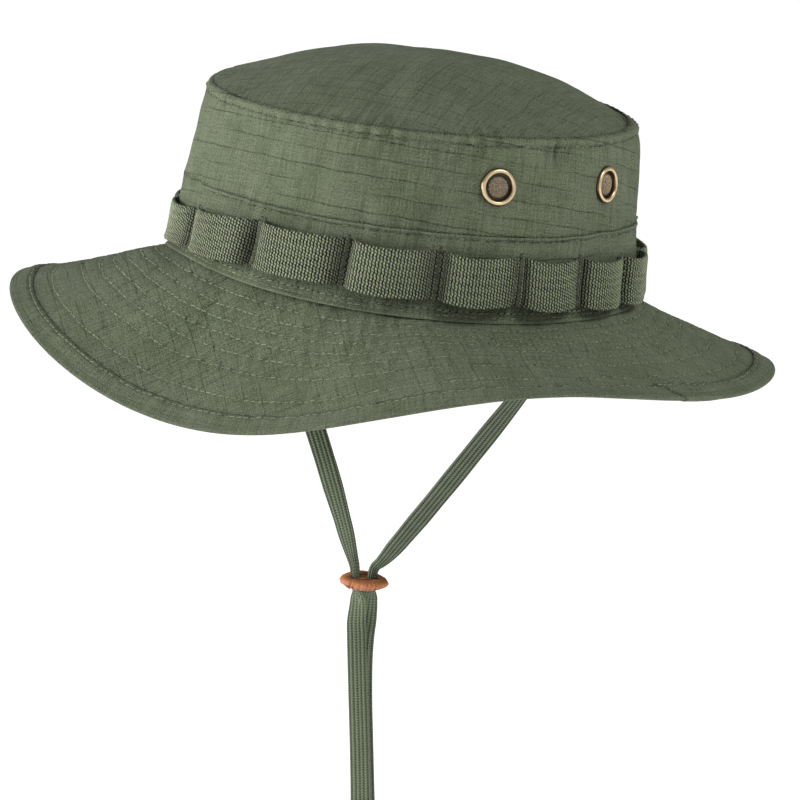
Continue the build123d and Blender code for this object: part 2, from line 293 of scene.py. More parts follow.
def corner_curl(direction, height):
    """How far the wall has turned in where it meets the top panel."""
    share = np.clip((height - CROWN_HEIGHT + CORNER_CURL_FROM) / CORNER_CURL_FROM, 0, 1)
    slump = np.clip((height - CROWN_HEIGHT + 10) / 10, 0, 1)
    return CORNER_CURL * share**2 + local_sum(direction, CORNER_SLUMPS) * slump**1.6


def side_cloth(direction, height):
    """The outer face of the crown's side panel."""
    seam_ridge = 0.5 * bump_at(height, CROWN_HEIGHT - 2.0, 1.5) - 0.28 * bump_at(height, TOP_STITCH, 0.8)
    out = PANEL_OUT + wall_relief(direction, height) + seam_ridge - corner_curl(direction, height)
    return wall(direction, height, out)


def band_cloth(direction, height):
    """The outer face of the lower band, which flares into a thin lip over the brim at its foot."""
    lip = 0.9 * np.clip(1 - height / 1.6, 0, 1) ** 1.5
    topstitch = -0.22 * bump_at(height, FOLD_STITCH, 0.6)
    base_stitch = sum(-0.25 * bump_at(height, row, 0.6) for row in BASE_STITCHES)
    fold = 0.45 * bump_at(height, BAND_HEIGHT - 0.5, 0.7)
    pressed = local_sum(direction, BAND_PRESSES) * smooth_step(height / 10)
    relief = wall_relief(direction, height) - pressed
    return wall(direction, height, relief - 0.3 + lip + topstitch + base_stitch + fold)


dome_broad = Ripples(7, 1, 7, 34)
dome_soft = Ripples(8, 6, 22, 12)


def dome_cloth(direction, radius_share):
    """The upper face of the top panel, from 0 at its middle to 1 at the seam."""
    rim = wall(direction, CROWN_HEIGHT, PANEL_OUT - CORNER_CURL - local_sum(direction, CORNER_SLUMPS))
    radius = TOP_X + PANEL_OUT
    ball = (radius**2 + DOME_RISE**2) / (2 * DOME_RISE)
    rise = DOME_RISE - ball + np.sqrt(ball**2 - (radius_share * radius) ** 2)
    middle = np.array([TOP_LEAN_X, TOP_LEAN_Y, CROWN_HEIGHT + 0.3])
    points = middle + (rim - middle) * np.asarray(radius_share)[..., None]
    inward = (1 - radius_share) * radius
    slack = smooth_step(inward / 20) * smooth_step(radius_share / 0.8)
    relief = slack * (0.8 * dome_broad(direction, inward) + 0.22 * dome_soft(direction, inward))
    relief += 0.30 * seam_puckers(direction) * np.exp(-np.abs(inward - 2) / 5)
    relief -= 0.6 * np.exp(-inward / 0.9)
    # One corner is pinched up into a lip, and the corner across from it is tucked down.
    relief += 0.5 * towards(direction, -44, 9) * bump_at(inward, 2.5, 3.5)
    slumped = 0.5 + 0.5 * np.cos(np.radians(direction - 130))
    relief -= 2.1 * slumped * bump_at(radius_share, 0.75, 0.3)
    relief -= 1.2 * towards(direction, 137, 16) * np.exp(-inward / 9)
    points[..., 2] += rise + relief
    return points


def edge_drop(direction):
    drop = EDGE_DROP + 0 * direction
    for cycles, depth, low in EDGE_WAVES:
        drop = drop + depth * np.cos(np.radians(cycles * (direction - low)))
    # The bound edge is thicker than the brim, so the cloth inside it stands a little higher than the wave.
    drop = drop - EDGE_TRIM * (0.5 + 0.5 * np.cos(np.radians(direction - 47)))
    return drop + local_sum(direction, EDGE_DIPS)


# Soft folds where the brim is gathered at the front: direction, width in degrees and height.
BRIM_CREASES = ((-33, 2.8, 0.7), (-26, 2.6, -0.7), (-18, 2.6, 0.5), (-10, 2.4, -0.4))

brim_folds = Ripples(9, 3, 11, 60)
brim_soft = Ripples(10, 14, 46, 10)
brim_puckers = Ripples(11, 90, 190, 4, 34)
row_puckers = Ripples(12, 70, 170, 60, 30)
quilt_pillows = Ripples(13, 40, 120, 8, 30)


def brim_relief(direction, cloth):
    """The brim's slack, the channels that its quilting pulls in, and the small puckers beside them."""
    loose = smooth_step(cloth / 12) * smooth_step((BRIM_WIDTH - cloth) / 10)
    relief = 0.55 * brim_folds(direction, cloth) * loose
    relief = relief + 0.16 * brim_soft(direction, cloth) + 0.05 * brim_puckers(direction, cloth)
    for number, row in enumerate((0.0, *QUILTING_ROWS, BRIM_WIDTH - BINDING_WIDTH + 1)):
        near = bump_at(cloth, row, 1.1)
        relief = relief - 0.36 * near
        relief = relief + 0.15 * row_puckers(direction + 37 * number) * bump_at(cloth, row, 2.4)
    relief = relief + 0.06 * quilt_pillows(direction, cloth)
    for middle, width, height in BRIM_CREASES:
        place = turn_between(direction, middle) + 0.25 * (cloth - 10)
        relief = relief + height * bump_at(place, 0, width) * bump_at(cloth, 10, 11)
    return relief * smooth_step((BRIM_WIDTH - cloth) / 7 + 0.15)


def brim(direction, cloth, below=0.0):
    """A point of the brim, this far along its cloth from the seam and this far below its upper face.

    Towards the edge the binding presses the layers together."""
    pressed = 1 - EDGE_PRESS * smooth_step((cloth - BRIM_WIDTH + 8) / 7)
    below = BRIM_STACK / 2 + (below - BRIM_STACK / 2) * pressed
    drop = edge_drop(direction)
    reach = np.sqrt(BRIM_WIDTH**2 - drop**2)
    # The brim's section is an arc through the seam, a low middle and the edge.
    seam_out, seam_up = PANEL_INNER, -LAYER_GAP
    middle_out, middle_up = reach / 2, -MIDDLE_SHARE * drop
    first_out, first_up = middle_out - seam_out, middle_up - seam_up
    second_out, second_up = reach - middle_out, -drop - middle_up
    first = (middle_out**2 + middle_up**2 - seam_out**2 - seam_up**2) / 2
    second = (reach**2 + drop**2 - middle_out**2 - middle_up**2) / 2
    scale = first_out * second_up - second_out * first_up
    centre_out = (first * second_up - second * first_up) / scale
    centre_up = (first_out * second - second_out * first) / scale
    radius = np.hypot(reach - centre_out, drop + centre_up)
    start = np.arctan2(seam_up - centre_up, seam_out - centre_out)
    end = np.arctan2(-drop - centre_up, reach - centre_out)
    share = cloth / BRIM_WIDTH
    turn = start + (end - start) * share
    out = centre_out + (radius + below) * np.cos(turn)
    up = centre_up + (radius + below) * np.sin(turn)
    points = wall(direction, 0, out)
    lifted = seam_rise(direction) + local_sum(direction, SEAM_LIFTS)
    points[..., 2] = up + lifted * (1 - smooth_step(share))
    return points


def brim_top(direction, cloth):
    return brim(direction, cloth, -brim_relief(direction, cloth))


def brim_under(direction, cloth):
    return brim(direction, cloth, BRIM_STACK - brim_relief(direction, cloth))


def tack_direction(number):
    even = FIRST_TACK + number * 360 / LOOPS
    return even + TACK_CROWDING * np.sin(np.radians(2 * even))


TACKS = np.array([tack_direction(number) for number in range(-1, LOOPS + 1)])


def loop_of(direction):
    """The loop that a direction lies in, and how far it is across that loop, from 0 to 1."""
    turned = TACKS[0] + (direction - TACKS[0]) % 360
    number = np.clip(np.searchsorted(TACKS, turned, side="right") - 1, 0, LOOPS - 1)
    start, end = TACKS[number] + TACK_HALF_WIDTH, TACKS[number + 1] - TACK_HALF_WIDTH
    return (number - 1) % LOOPS, np.clip((turned - start) / (end - start), 0, 1)


def webbing(direction, up, out):
    """A point of the webbing: up from its lower edge, out from its inner face."""
    number, share = loop_of(direction)
    gap, crest, sag = np.take(np.array(LOOP_SHAPES).T, number, axis=1)
    # Skewing the share moves the crest between the tacks.
    skewed = share ** (np.log(0.5) / np.log(crest - 0.08))
    bow = np.sin(math.pi * skewed)
    stand_off = gap * np.abs(bow) ** 0.5
    lean = 1 + 0.25 * (up / WEBBING_WIDTH - 0.5) * np.cos(5 * number)
    height = WEBBING_LOW - local_sum(direction, WEBBING_DIPS) + up - sag * bow**1.5
    base = wall_relief(direction, height) * (1 - np.abs(bow))
    packed = -0.5 * np.exp(-((share * (1 - share) / 0.03) ** 2))
    pressed = local_sum(direction, BAND_PRESSES)
    return wall(direction, height, base + stand_off * lean + out + packed - pressed)


# ------------------------------------------------------------------------------------------ mesh tools
def make_object(name, points, faces, material, uv=None, tone=None):
    """A smooth mesh piece. uv has one row per face corner, in millimetres of cloth; tone one per point."""
    if isinstance(faces, np.ndarray):
        faces = faces.tolist()
    mesh = bpy.data.meshes.new(name)
    mesh.from_pydata((np.asarray(points).reshape(-1, 3) * MM).tolist(), [], faces)
    mesh.polygons.foreach_set("use_smooth", np.ones(len(mesh.polygons), bool))
    if uv is not None:
        layer = mesh.uv_layers.new(name="cloth")
        layer.data.foreach_set("uv", np.asarray(uv, np.float32).ravel())
    if tone is not None:
        attribute = mesh.attributes.new("tone", "FLOAT", "POINT")
        attribute.data.foreach_set("value", np.asarray(tone, np.float32).ravel())
    mesh.materials.append(material)
    piece = bpy.data.objects.new(name, mesh)
    bpy.context.scene.collection.objects.link(piece)
    return piece


def quads_of(index, flip):
    """The four corners of each cell of a table of point numbers."""
    corners = [index[:-1, :-1], index[:-1, 1:], index[1:, 1:], index[1:, :-1]]
    if flip:
        corners.reverse()
    return np.stack(corners, -1).reshape(-1, 4)


def tube_index(rows, columns, first=0):
    """Point numbers of rows that each join up: the first column comes again at the end."""
    index = np.arange(rows * columns).reshape(rows, columns) + first
    return np.concatenate([index, index[:, :1]], 1)


def fan(middle, first, columns, flip=False):
    """Triangles between a middle point and a ring of points that starts at a point number."""
    triangles = []
    for number in range(columns):
        pair = [first + number, first + (number + 1) % columns]
        if flip:
            pair.reverse()
        triangles.append([middle, *pair])
    return triangles


def join_rows(values):
    """The rows with the first one again at the end, for a grid that joins up."""
    return np.concatenate([values, values[:1]])


def grid_object(name, points, uv, material, tone=None, closed=(True, True), flip=False):
    """A piece made of rows and columns of points. closed says if the rows and the columns join up."""
    rows, columns = points.shape[:2]
    row_numbers = np.arange(rows + closed[0]) % rows
    column_numbers = np.arange(columns + closed[1]) % columns
    index = row_numbers[:, None] * columns + column_numbers
    corners = np.arange(index.size).reshape(index.shape)
    uv_corners = quads_of(corners, flip).ravel()
    uv = np.asarray(uv).reshape(-1, 2)[uv_corners]
    return make_object(name, points, quads_of(index, flip), material, uv, tone)


def normals_of(points, closed=True):
    """Unit normals of a grid, on the side that its columns crossed with its rows point to."""
    if closed:
        along = np.roll(points, -1, 1) - np.roll(points, 1, 1)
    else:
        along = np.gradient(points, axis=1)
    across = np.gradient(points, axis=0)
    normal = np.cross(along, across)
    return normal / np.linalg.norm(normal, axis=-1, keepdims=True)


def unit(vectors):
    return vectors / np.linalg.norm(vectors, axis=-1, keepdims=True)


def thick_section(face, back, rim=0.4):
    """Both faces of a cloth and a rounded rim at each end, as the rows of one closed section."""
    thickness = np.linalg.norm(face - back, axis=-1, keepdims=True)
    high = (face[-1] + back[-1]) / 2 + unit(face[-1] - face[-2]) * thickness[-1] * rim
    low = (face[0] + back[0]) / 2 + unit(face[0] - face[1]) * thickness[0] * rim
    return np.concatenate([face, high[None], back[::-1], low[None]])


def lengths_along(line):
    """How far each point of a line lies from its start, along the line."""
    return np.concatenate([[0], np.cumsum(np.linalg.norm(np.diff(line, axis=0), axis=1))])


def ring_length(points):
    return np.linalg.norm(np.roll(points, -1, 0) - points, axis=-1).sum()


def section_rows(values):
    """The same rows as thick_section, for something known on the face alone."""
    return np.concatenate([values, values[-1:], values[::-1], values[:1]])


def cloth_ring(name, surface, rows, thickness, material, uv=None, tone=None, side=1, around=AROUND):
    """A ring of cloth that follows surface(direction, row), thickened away from its face.

    uv(direction, row) gives its cloth coordinates, where they are not simply along and across the ring."""
    directions = np.arange(around) * 360 / around - 180
    grid, row_grid = np.meshgrid(directions, rows)
    face = surface(grid, row_grid)
    back = face - normals_of(face) * thickness * side
    points = thick_section(face, back)
    if uv is None:
        # Cloth coordinates run along the ring, at the length of its middle row.
        length = ring_length(face[len(rows) // 2])
        along, across = np.meshgrid(np.arange(around + 1) * length / around, rows)
        uv = np.stack([along, across], -1)
    else:
        uv = uv(*np.meshgrid(np.linspace(-180, 180, around + 1), rows))
    uv = join_rows(section_rows(uv))
    tone = None if tone is None else section_rows(tone(grid, row_grid))
    return grid_object(name, points, uv, material, tone, flip=side < 0)


# A stitch's rings: place along it, width, and how much painted shade darkens it where it dives into the
# cloth.
STITCH_RINGS = ((-0.5, 0.5, -0.75), (-0.41, 0.8, -0.6), (-0.3, 1.0, 0.0), (0.3, 1.0, 0.0), (0.41, 0.8, -0.6),
                (0.5, 0.5, -0.75))
STITCH_SIDES = 6


def stitches(name, centres, along, normal, length, radius, tone=0.12, level=0.0, seed=0):
    """Thread stitches as small bowed capsules, whose ends go down into the cloth."""
    draw = np.random.default_rng(SEED + 100 + seed)
    count = len(centres)
    side = unit(np.cross(normal, along))
    skew = draw.normal(0.1, 0.06, count)[:, None]
    along = unit(along + side * skew)
    side = unit(np.cross(normal, along))
    lengths = length * draw.uniform(0.86, 1.08, count)[:, None]
    angles = np.arange(STITCH_SIDES) * 2 * math.pi / STITCH_SIDES
    rings = []
    for place, width, _ in STITCH_RINGS:
        middle = centres + along * lengths * place + normal * radius * (0.75 - (2.6 * place) ** 2)
        for angle in angles:
            ring_side = side * math.cos(angle) + normal * math.sin(angle) * 0.8
            rings.append(middle + ring_side * radius * width)
    points = np.stack(rings, 1)
    per_stitch = len(STITCH_RINGS) * STITCH_SIDES
    index = tube_index(len(STITCH_RINGS), STITCH_SIDES)
    last = per_stitch - STITCH_SIDES
    caps = np.array([[0, 1, 2, 3], [0, 3, 4, 5]])
    pattern = np.concatenate([quads_of(index, False), caps, last + np.array([[3, 2, 1, 0], [5, 4, 3, 0]])])
    faces = (pattern[None] + np.arange(count)[:, None, None] * per_stitch).reshape(-1, 4)
    ends = np.repeat([dark for _, _, dark in STITCH_RINGS], STITCH_SIDES)
    tones = draw.normal(level, tone, count)[:, None] + ends
    return make_object(name, points, faces, MATERIALS["thread"], tone=tones)


def along_row(surface, row, pitch, start=0.0, end=360.0, side=1, wander=0.12, seed=0):
    """Centres, directions and normals for stitches along a row of a surface."""
    fine = np.linspace(start, end, 4001)
    wave = wander * Ripples(200 + seed, 5, 60, 1)(fine) if wander else 0 * fine
    line = surface(fine, row + wave)
    travelled = lengths_along(line)
    places = np.interp((np.arange(int(travelled[-1] / pitch)) + 0.5) * pitch, travelled, fine)
    rows = row + np.interp(places, fine, wave)
    here = surface(places, rows)
    along = unit(surface(places + 0.15, rows) - surface(places - 0.15, rows))
    across = surface(places, rows + 0.4) - surface(places, rows - 0.4)
    normal = unit(np.cross(along, across)) * side
    return here, along, normal


# ------------------------------------------------------------------------------------------- materials
class Shader:
    """A material with its nodes made by short calls. Numbers or sockets both serve as inputs."""

    def __init__(self, name):
        self.material = bpy.data.materials.new(name)
        self.material.use_nodes = True
        self.tree = self.material.node_tree
        self.tree.nodes.clear()
        self.surface = self.tree.nodes.new("ShaderNodeBsdfPrincipled")
        output = self.tree.nodes.new("ShaderNodeOutputMaterial")
        self.tree.links.new(self.surface.outputs["BSDF"], output.inputs["Surface"])

    def put(self, socket, value):
        if isinstance(value, bpy.types.NodeSocket):
            self.tree.links.new(value, socket)
        elif socket.type == "VECTOR":
            socket.default_value = value[:3]
        else:
            socket.default_value = value

    def math(self, operation, first, second=0.0, third=0.0):
        node = self.tree.nodes.new("ShaderNodeMath")
        node.operation = operation
        for socket, value in zip(node.inputs, (first, second, third)):
            self.put(socket, value)
        return node.outputs[0]

    def cloth_place(self):
        """The place on the cloth in millimetres, along and across."""
        node = self.tree.nodes.new("ShaderNodeUVMap")
        node.uv_map = "cloth"
        split = self.tree.nodes.new("ShaderNodeSeparateXYZ")
        self.put(split.inputs[0], node.outputs[0])
        return split.outputs[0], split.outputs[1]

    def place(self, x, y, z=0.0):
        node = self.tree.nodes.new("ShaderNodeCombineXYZ")
        for socket, value in zip(node.inputs, (x, y, z)):
            self.put(socket, value)
        return node.outputs[0]

    def object_place(self):
        return self.tree.nodes.new("ShaderNodeTexCoord").outputs["Object"]

    def noise(self, place, scale, detail=2.0, roughness=0.5):
        """Noise from about -0.5 to 0.5."""
        node = self.tree.nodes.new("ShaderNodeTexNoise")
        self.put(node.inputs["Vector"], place)
        node.inputs["Scale"].default_value = scale
        node.inputs["Detail"].default_value = detail
        node.inputs["Roughness"].default_value = roughness
        return self.math("SUBTRACT", node.outputs["Fac"], 0.5)

    def between(self, value, low, high):
        """A smooth rise from 0 at low to 1 at high."""
        node = self.tree.nodes.new("ShaderNodeMapRange")
        node.interpolation_type = "SMOOTHSTEP"
        self.put(node.inputs["Value"], value)
        node.inputs["From Min"].default_value = low
        node.inputs["From Max"].default_value = high
        return node.outputs["Result"]

    def tone(self):
        node = self.tree.nodes.new("ShaderNodeAttribute")
        node.attribute_name = "tone"
        return node.outputs["Fac"]

    def mix(self, share, first, second):
        node = self.tree.nodes.new("ShaderNodeMix")
        node.data_type = "RGBA"
        self.put(node.inputs[0], share)
        self.put(node.inputs[6], first)
        self.put(node.inputs[7], second)
        return node.outputs[2]

    def brighter(self, colour, amount):
        """A colour times one plus an amount."""
        node = self.tree.nodes.new("ShaderNodeVectorMath")
        node.operation = "SCALE"
        self.put(node.inputs[0], colour)
        self.put(node.inputs["Scale"], self.math("ADD", amount, 1.0))
        return node.outputs[0]

    def sum(self, *terms):
        total = terms[0]
        for term in terms[1:]:
            total = self.math("ADD", total, term)
        return total

    def times(self, value, amount):
        return self.math("MULTIPLY", value, amount)

    def weighted(self, *pairs):
        """A sum of values, each times its own amount."""
        return self.sum(*[self.times(value, amount) for value, amount in pairs])

    def wave(self, value, pitch):
        """From -1 to 1 and back in each pitch."""
        return self.math("SINE", self.times(value, 2 * math.pi / pitch))

    def weave(self, along, across, pitch):
        """Threads over and under each other in both directions."""
        return self.math("MULTIPLY", self.wave(along, pitch), self.wave(across, pitch))

    def bump(self, height_mm, strength=1.0):
        node = self.tree.nodes.new("ShaderNodeBump")
        node.inputs["Strength"].default_value = strength
        node.inputs["Distance"].default_value = MM
        self.put(node.inputs["Height"], height_mm)
        self.put(self.surface.inputs["Normal"], node.outputs["Normal"])

    def finish(self, colour, roughness, specular=0.5, sheen=0.0, metallic=0.0, glow=0.0):
        """Gives the surface its colour and roughness, as numbers or sockets, and its plain numbers."""
        self.put(self.surface.inputs["Base Color"], colour)
        self.put(self.surface.inputs["Roughness"], roughness)
        self.surface.inputs["Specular IOR Level"].default_value = specular
        self.surface.inputs["Sheen Weight"].default_value = sheen
        self.surface.inputs["Metallic"].default_value = metallic
        self.surface.inputs["Emission Color"].default_value = WHITE
        self.surface.inputs["Emission Strength"].default_value = glow
        return self.material


def linear(red, green, blue):
    """A colour given as the eye sees it, from 0 to 255, as the renderer takes it."""
    values = []
    for value in (red, green, blue):
        share = value / 255
        values.append(share / 12.92 if share <= 0.04045 else ((share + 0.055) / 1.055) ** 2.4)
    return (*values, 1.0)


WHITE = (1.0, 1.0, 1.0, 1.0)
OLIVE = linear(105, 112, 90)
OLIVE_GREEN = linear(102, 111, 88)
OLIVE_GREY = linear(107, 114, 94)
BRAID_OLIVE = linear(103, 113, 90)
THREAD = linear(140, 149, 122)
RIPSTOP_GRID = 7.4
WEAVE_PITCH = 1.0


def ripstop_material(name="ripstop_cloth", line_depth=0.42, contrast=1.15, cross_lines=0.35):
    """Olive ripstop: fine weave streaks, and a broken, slightly wavy grid of thicker threads."""
    shader = Shader(name)
    along, across = shader.cloth_place()
    place = shader.place(along, across)
    wobble = shader.times(shader.noise(place, 0.07, 1.0), 1.8)
    lines = []
    for value, other in ((along, across), (across, along)):
        moved = shader.math("DIVIDE", shader.math("ADD", value, wobble), RIPSTOP_GRID)
        offset = shader.math("ABSOLUTE", shader.math("SUBTRACT", shader.math("FRACT", moved), 0.5))
        thin = shader.math("SUBTRACT", 1.0, shader.between(offset, 0.012, 0.06))
        run = shader.place(value, shader.times(other, 0.15), 3.0)
        broken = shader.between(shader.noise(run, 0.16, 2.0), -0.22, 0.04)
        lines.append(shader.math("MULTIPLY", thin, broken))
    rip = shader.math("MAXIMUM", shader.times(lines[0], cross_lines), lines[1])
    warp = shader.noise(shader.place(along, shader.times(across, 0.08)), 1.0, 2.0, 0.6)
    weft = shader.noise(shader.place(shader.times(along, 0.08), across), 1.0, 2.0, 0.6)
    weave = shader.weave(along, across, WEAVE_PITCH)
    grain = shader.noise(place, 1.7, 2.0, 0.7)
    patches = shader.noise(place, 0.035, 3.0)
    spots = shader.noise(place, 0.22, 3.0)
    mottle = shader.weighted((warp, 0.8), (weft, 0.6), (weave, 0.15), (grain, 2.6), (spots, 0.15))
    amount = shader.weighted((mottle, contrast), (patches, 0.25), (rip, -line_depth), (shader.tone(), 1.0))
    colour = shader.mix(shader.between(patches, -0.25, 0.25), OLIVE_GREEN, OLIVE_GREY)
    shader.bump(shader.weighted((weave, 0.07), (warp, 0.35), (weft, 0.2), (grain, 0.4), (rip, -0.1)), 0.9)
    roughness = shader.sum(shader.times(spots, 0.15), 0.88)
    return shader.finish(shader.brighter(colour, amount), roughness, specular=0.15, sheen=0.04)


def webbing_material():
    """Ribbed webbing: columns of slanted strokes of light thread, with dark gaps between the columns."""
    shader = Shader("ribbed_webbing")
    along, across = shader.cloth_place()
    place = shader.place(along, across)
    grain = shader.noise(place, 1.6, 2.0, 0.7)
    rough_patches = shader.noise(place, 0.12, 2.0)
    sway = shader.times(shader.wave(across, 2 * SLASH_PITCH), RIB_SWAY)
    column = shader.times(shader.sum(along, sway), 1 / RIB_PITCH)
    crown = shader.between(shader.sum(shader.wave(column, 1.0), shader.times(grain, 1.1)), -0.7, 0.25)
    # Each column's strokes slant across it, and start a step away from those of the column before.
    step = shader.times(shader.math("FLOOR", column), 0.43)
    slant = shader.times(shader.math("FRACT", column), 0.85)
    rank = shader.sum(shader.times(across, 1 / SLASH_PITCH), slant, step, shader.times(grain, 0.7))
    stroke = shader.between(shader.wave(rank, 1.0), -0.95, -0.1)
    rows = shader.weighted((across, 2 * math.pi / 3.4), (rough_patches, 5.0))
    pulled = shader.math("SINE", rows)
    light = shader.math("MULTIPLY", crown, stroke)
    lightness = shader.weighted((light, 2.6), (pulled, 0.16), (grain, 0.6), (rough_patches, 0.4))
    amount = shader.math("MAXIMUM", shader.sum(lightness, -0.92, shader.tone()), -0.95)
    shader.bump(shader.weighted((light, 0.3), (grain, 0.15)), 1.0)
    return shader.finish(shader.brighter(OLIVE, amount), 0.82, specular=0.3, sheen=0.12)


def thread_material(name, colour):
    shader = Shader(name)
    place = shader.object_place()
    fuzz = shader.noise(place, 2500.0, 1.0)
    patches = shader.noise(place, 40.0, 2.0)
    amount = shader.weighted((fuzz, 0.5), (patches, 0.3), (shader.tone(), 1.0))
    shader.bump(shader.times(fuzz, 0.1), 0.5)
    return shader.finish(shader.brighter(colour, amount), 0.7, specular=0.3)


def plain_cloth_material(name, colour, weave_pitch):
    """Tape, sweatband and lining cloth: a plain weave with soft patches."""
    shader = Shader(name)
    along, across = shader.cloth_place()
    place = shader.place(along, across)
    weave = shader.weave(along, across, weave_pitch)
    grain = shader.noise(place, 1.7, 2.0, 0.7)
    patches = shader.noise(place, 0.06, 3.0)
    amount = shader.weighted((weave, 0.05), (grain, 0.32), (patches, 0.22), (shader.tone(), 1.0))
    shader.bump(shader.weighted((weave, 0.05), (grain, 0.08)), 0.8)
    roughness = shader.sum(shader.times(patches, 0.2), 0.88)
    return shader.finish(shader.brighter(colour, amount), roughness, specular=0.25, sheen=0.10)


def braid_material():
    """Flat braid: fine knitted chevrons along each rib, with painted shade in the grooves from the tone
    attribute.
    """
    shader = Shader("flat_braid")
    along, across = shader.cloth_place()
    place = shader.place(along, across)
    folded = shader.math("PINGPONG", across, BRAID_WIDTH / 10)
    knit = shader.math("SINE", shader.weighted((along, 2 * math.pi / 1.2), (folded, 3.2)))
    grain = shader.noise(place, 1.8, 2.0, 0.7)
    patches = shader.noise(place, 0.08, 2.0)
    amount = shader.weighted((knit, 0.26), (grain, 0.6), (patches, 0.25), (shader.tone(), 1.0))
    shader.bump(shader.weighted((knit, 0.10), (grain, 0.08)), 0.8)
    return shader.finish(shader.brighter(BRAID_OLIVE, amount), 0.8, specular=0.3, sheen=0.12)


def brass_material():
    """Antique brass, rubbed bright on the raised lip and dark where it is sheltered."""
    shader = Shader("antique_brass")
    place = shader.object_place()
    spots = shader.noise(place, 900.0, 3.0)
    clouds = shader.noise(place, 160.0, 2.0)
    rubbed = shader.between(shader.weighted((shader.tone(), 1.0), (clouds, 0.5)), 0.15, 0.75)
    colour = shader.mix(rubbed, linear(104, 80, 54), linear(226, 204, 164))
    roughness = shader.sum(shader.times(clouds, 0.25), 0.34)
    shader.bump(shader.times(spots, 0.03), 0.5)
    return shader.finish(shader.brighter(colour, shader.times(spots, 0.4)), roughness, metallic=0.9)


def wire_material():
    shader = Shader("screen_wire")
    spots = shader.noise(shader.object_place(), 1500.0, 2.0)
    colour = shader.mix(shader.between(spots, -0.3, 0.3), linear(116, 101, 87), linear(182, 164, 144))
    roughness = shader.sum(shader.times(spots, 0.2), 0.45)
    return shader.finish(shader.brighter(colour, shader.tone()), roughness, metallic=0.5)


def leather_material():
    """Orange-brown leather with a mottled face and raw, darker cut edges."""
    shader = Shader("tan_leather")
    place = shader.object_place()
    grain = shader.noise(place, 1400.0, 3.0, 0.65)
    blotches = shader.noise(place, 260.0, 3.0)
    stretched = shader.tree.nodes.new("ShaderNodeMapping")
    stretched.inputs["Scale"].default_value = (0.35, 0.35, 2.2)
    shader.put(stretched.inputs["Vector"], place)
    fibre = shader.noise(stretched.outputs[0], 900.0, 3.0, 0.7)
    darkening = shader.between(shader.weighted((shader.tone(), 1.0), (fibre, 1.2), (blotches, 0.8)), 0.1, 0.9)
    colour = shader.mix(darkening, linear(194, 124, 80), linear(92, 48, 30))
    amount = shader.weighted((grain, 0.9), (blotches, 0.8))
    roughness = shader.sum(shader.times(blotches, 0.3), 0.62)
    shader.bump(shader.weighted((grain, 0.20), (fibre, 0.25)), 0.8)
    return shader.finish(shader.brighter(colour, amount), roughness)


MATERIALS = {
    "ripstop": ripstop_material(),
    "brim": ripstop_material("ripstop_brim", 0.24, 1.15, 0.8),
    "dome": ripstop_material("ripstop_dome", 0.3, 1.0, 0.8),
    "webbing": webbing_material(),
    "thread": thread_material("sewing_thread", THREAD),
    "binding": ripstop_material("ripstop_binding", 0.14, 1.0, 0.8),
    "tape": plain_cloth_material("folded_tape", linear(100, 109, 84), 0.9),
    "lining": plain_cloth_material("sweatband_cloth", linear(96, 104, 80), 1.0),
    "interlining": plain_cloth_material("stiff_interlining", linear(150, 150, 138), 1.4),
    "label": plain_cloth_material("blank_tag", linear(70, 78, 58), 0.6),
    "braid": braid_material(),
    "brass": brass_material(),
    "wire": wire_material(),
    "leather": leather_material(),
}


# ---------------------------------------------------------------------------------------- crown pieces
def hat_piece(piece, slot, *nodes):
    """The piece rides on the hat and stands for CAD nodes, which it hides. slot is not used."""
    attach(piece, "hat")
    if nodes:
        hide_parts(*nodes)
    return piece


def hat_cloth(piece, slot, node, flat, rests_on, held="stretched", **more):
    """A hat piece of cloth, with its flat size in millimetres and the pieces that it rests on, which are not
    used.
    """
    hat_piece(piece, slot, node)


# Painted shade of small sharp tucks under the top seam: direction, half height and how dark each is.
PINCHES = (
    (80.5, 4.0, 0.3), (83.5, 6.0, 0.5), (87.0, 3.5, 0.3),
    (112.0, 3.5, 0.25), (40.0, 3.5, 0.2), (63.0, 3.0, 0.2),
)


def side_painted_light(direction, height):
    """Painted shade in the top seam's groove and under its ridge, with a little painted highlight on the
    ridge.
    """
    groove = -0.45 * bump_at(height, CROWN_HEIGHT, 0.8)
    ridge = 0.10 * bump_at(height, CROWN_HEIGHT - 1.8, 0.9) - 0.16 * bump_at(height, TOP_STITCH, 0.7)
    # Painted shadow under the band's fold, a darker line down the back seam, and painted shade in a broad
    # patch and in the tucks.
    shadow = -0.6 * bump_at(height, BAND_HEIGHT + 0.35, 0.5)
    shadow = shadow - 0.5 * towards(direction, 180, 0.3)
    shadow = shadow - 0.09 * towards(direction, 46, 13)
    below_top = CROWN_HEIGHT - height
    for middle, reach, depth in PINCHES:
        shadow = shadow - depth * towards(direction, middle, 0.7) * bump_at(below_top, 7, reach)
    # Painted shading that follows the seam's puckers.
    return groove + ridge + shadow + 0.05 * seam_puckers(direction) * bump_at(height, CROWN_HEIGHT - 3, 4)


def side_grain(direction, height):
    """Cloth coordinates of the side panel. It is cut in an arc, so its grain turns away from the seams."""
    along = np.radians(direction) * BASE_Y
    return np.stack([along, height + GRAIN_TURN * (along - GRAIN_MIDDLE) ** 2], -1)


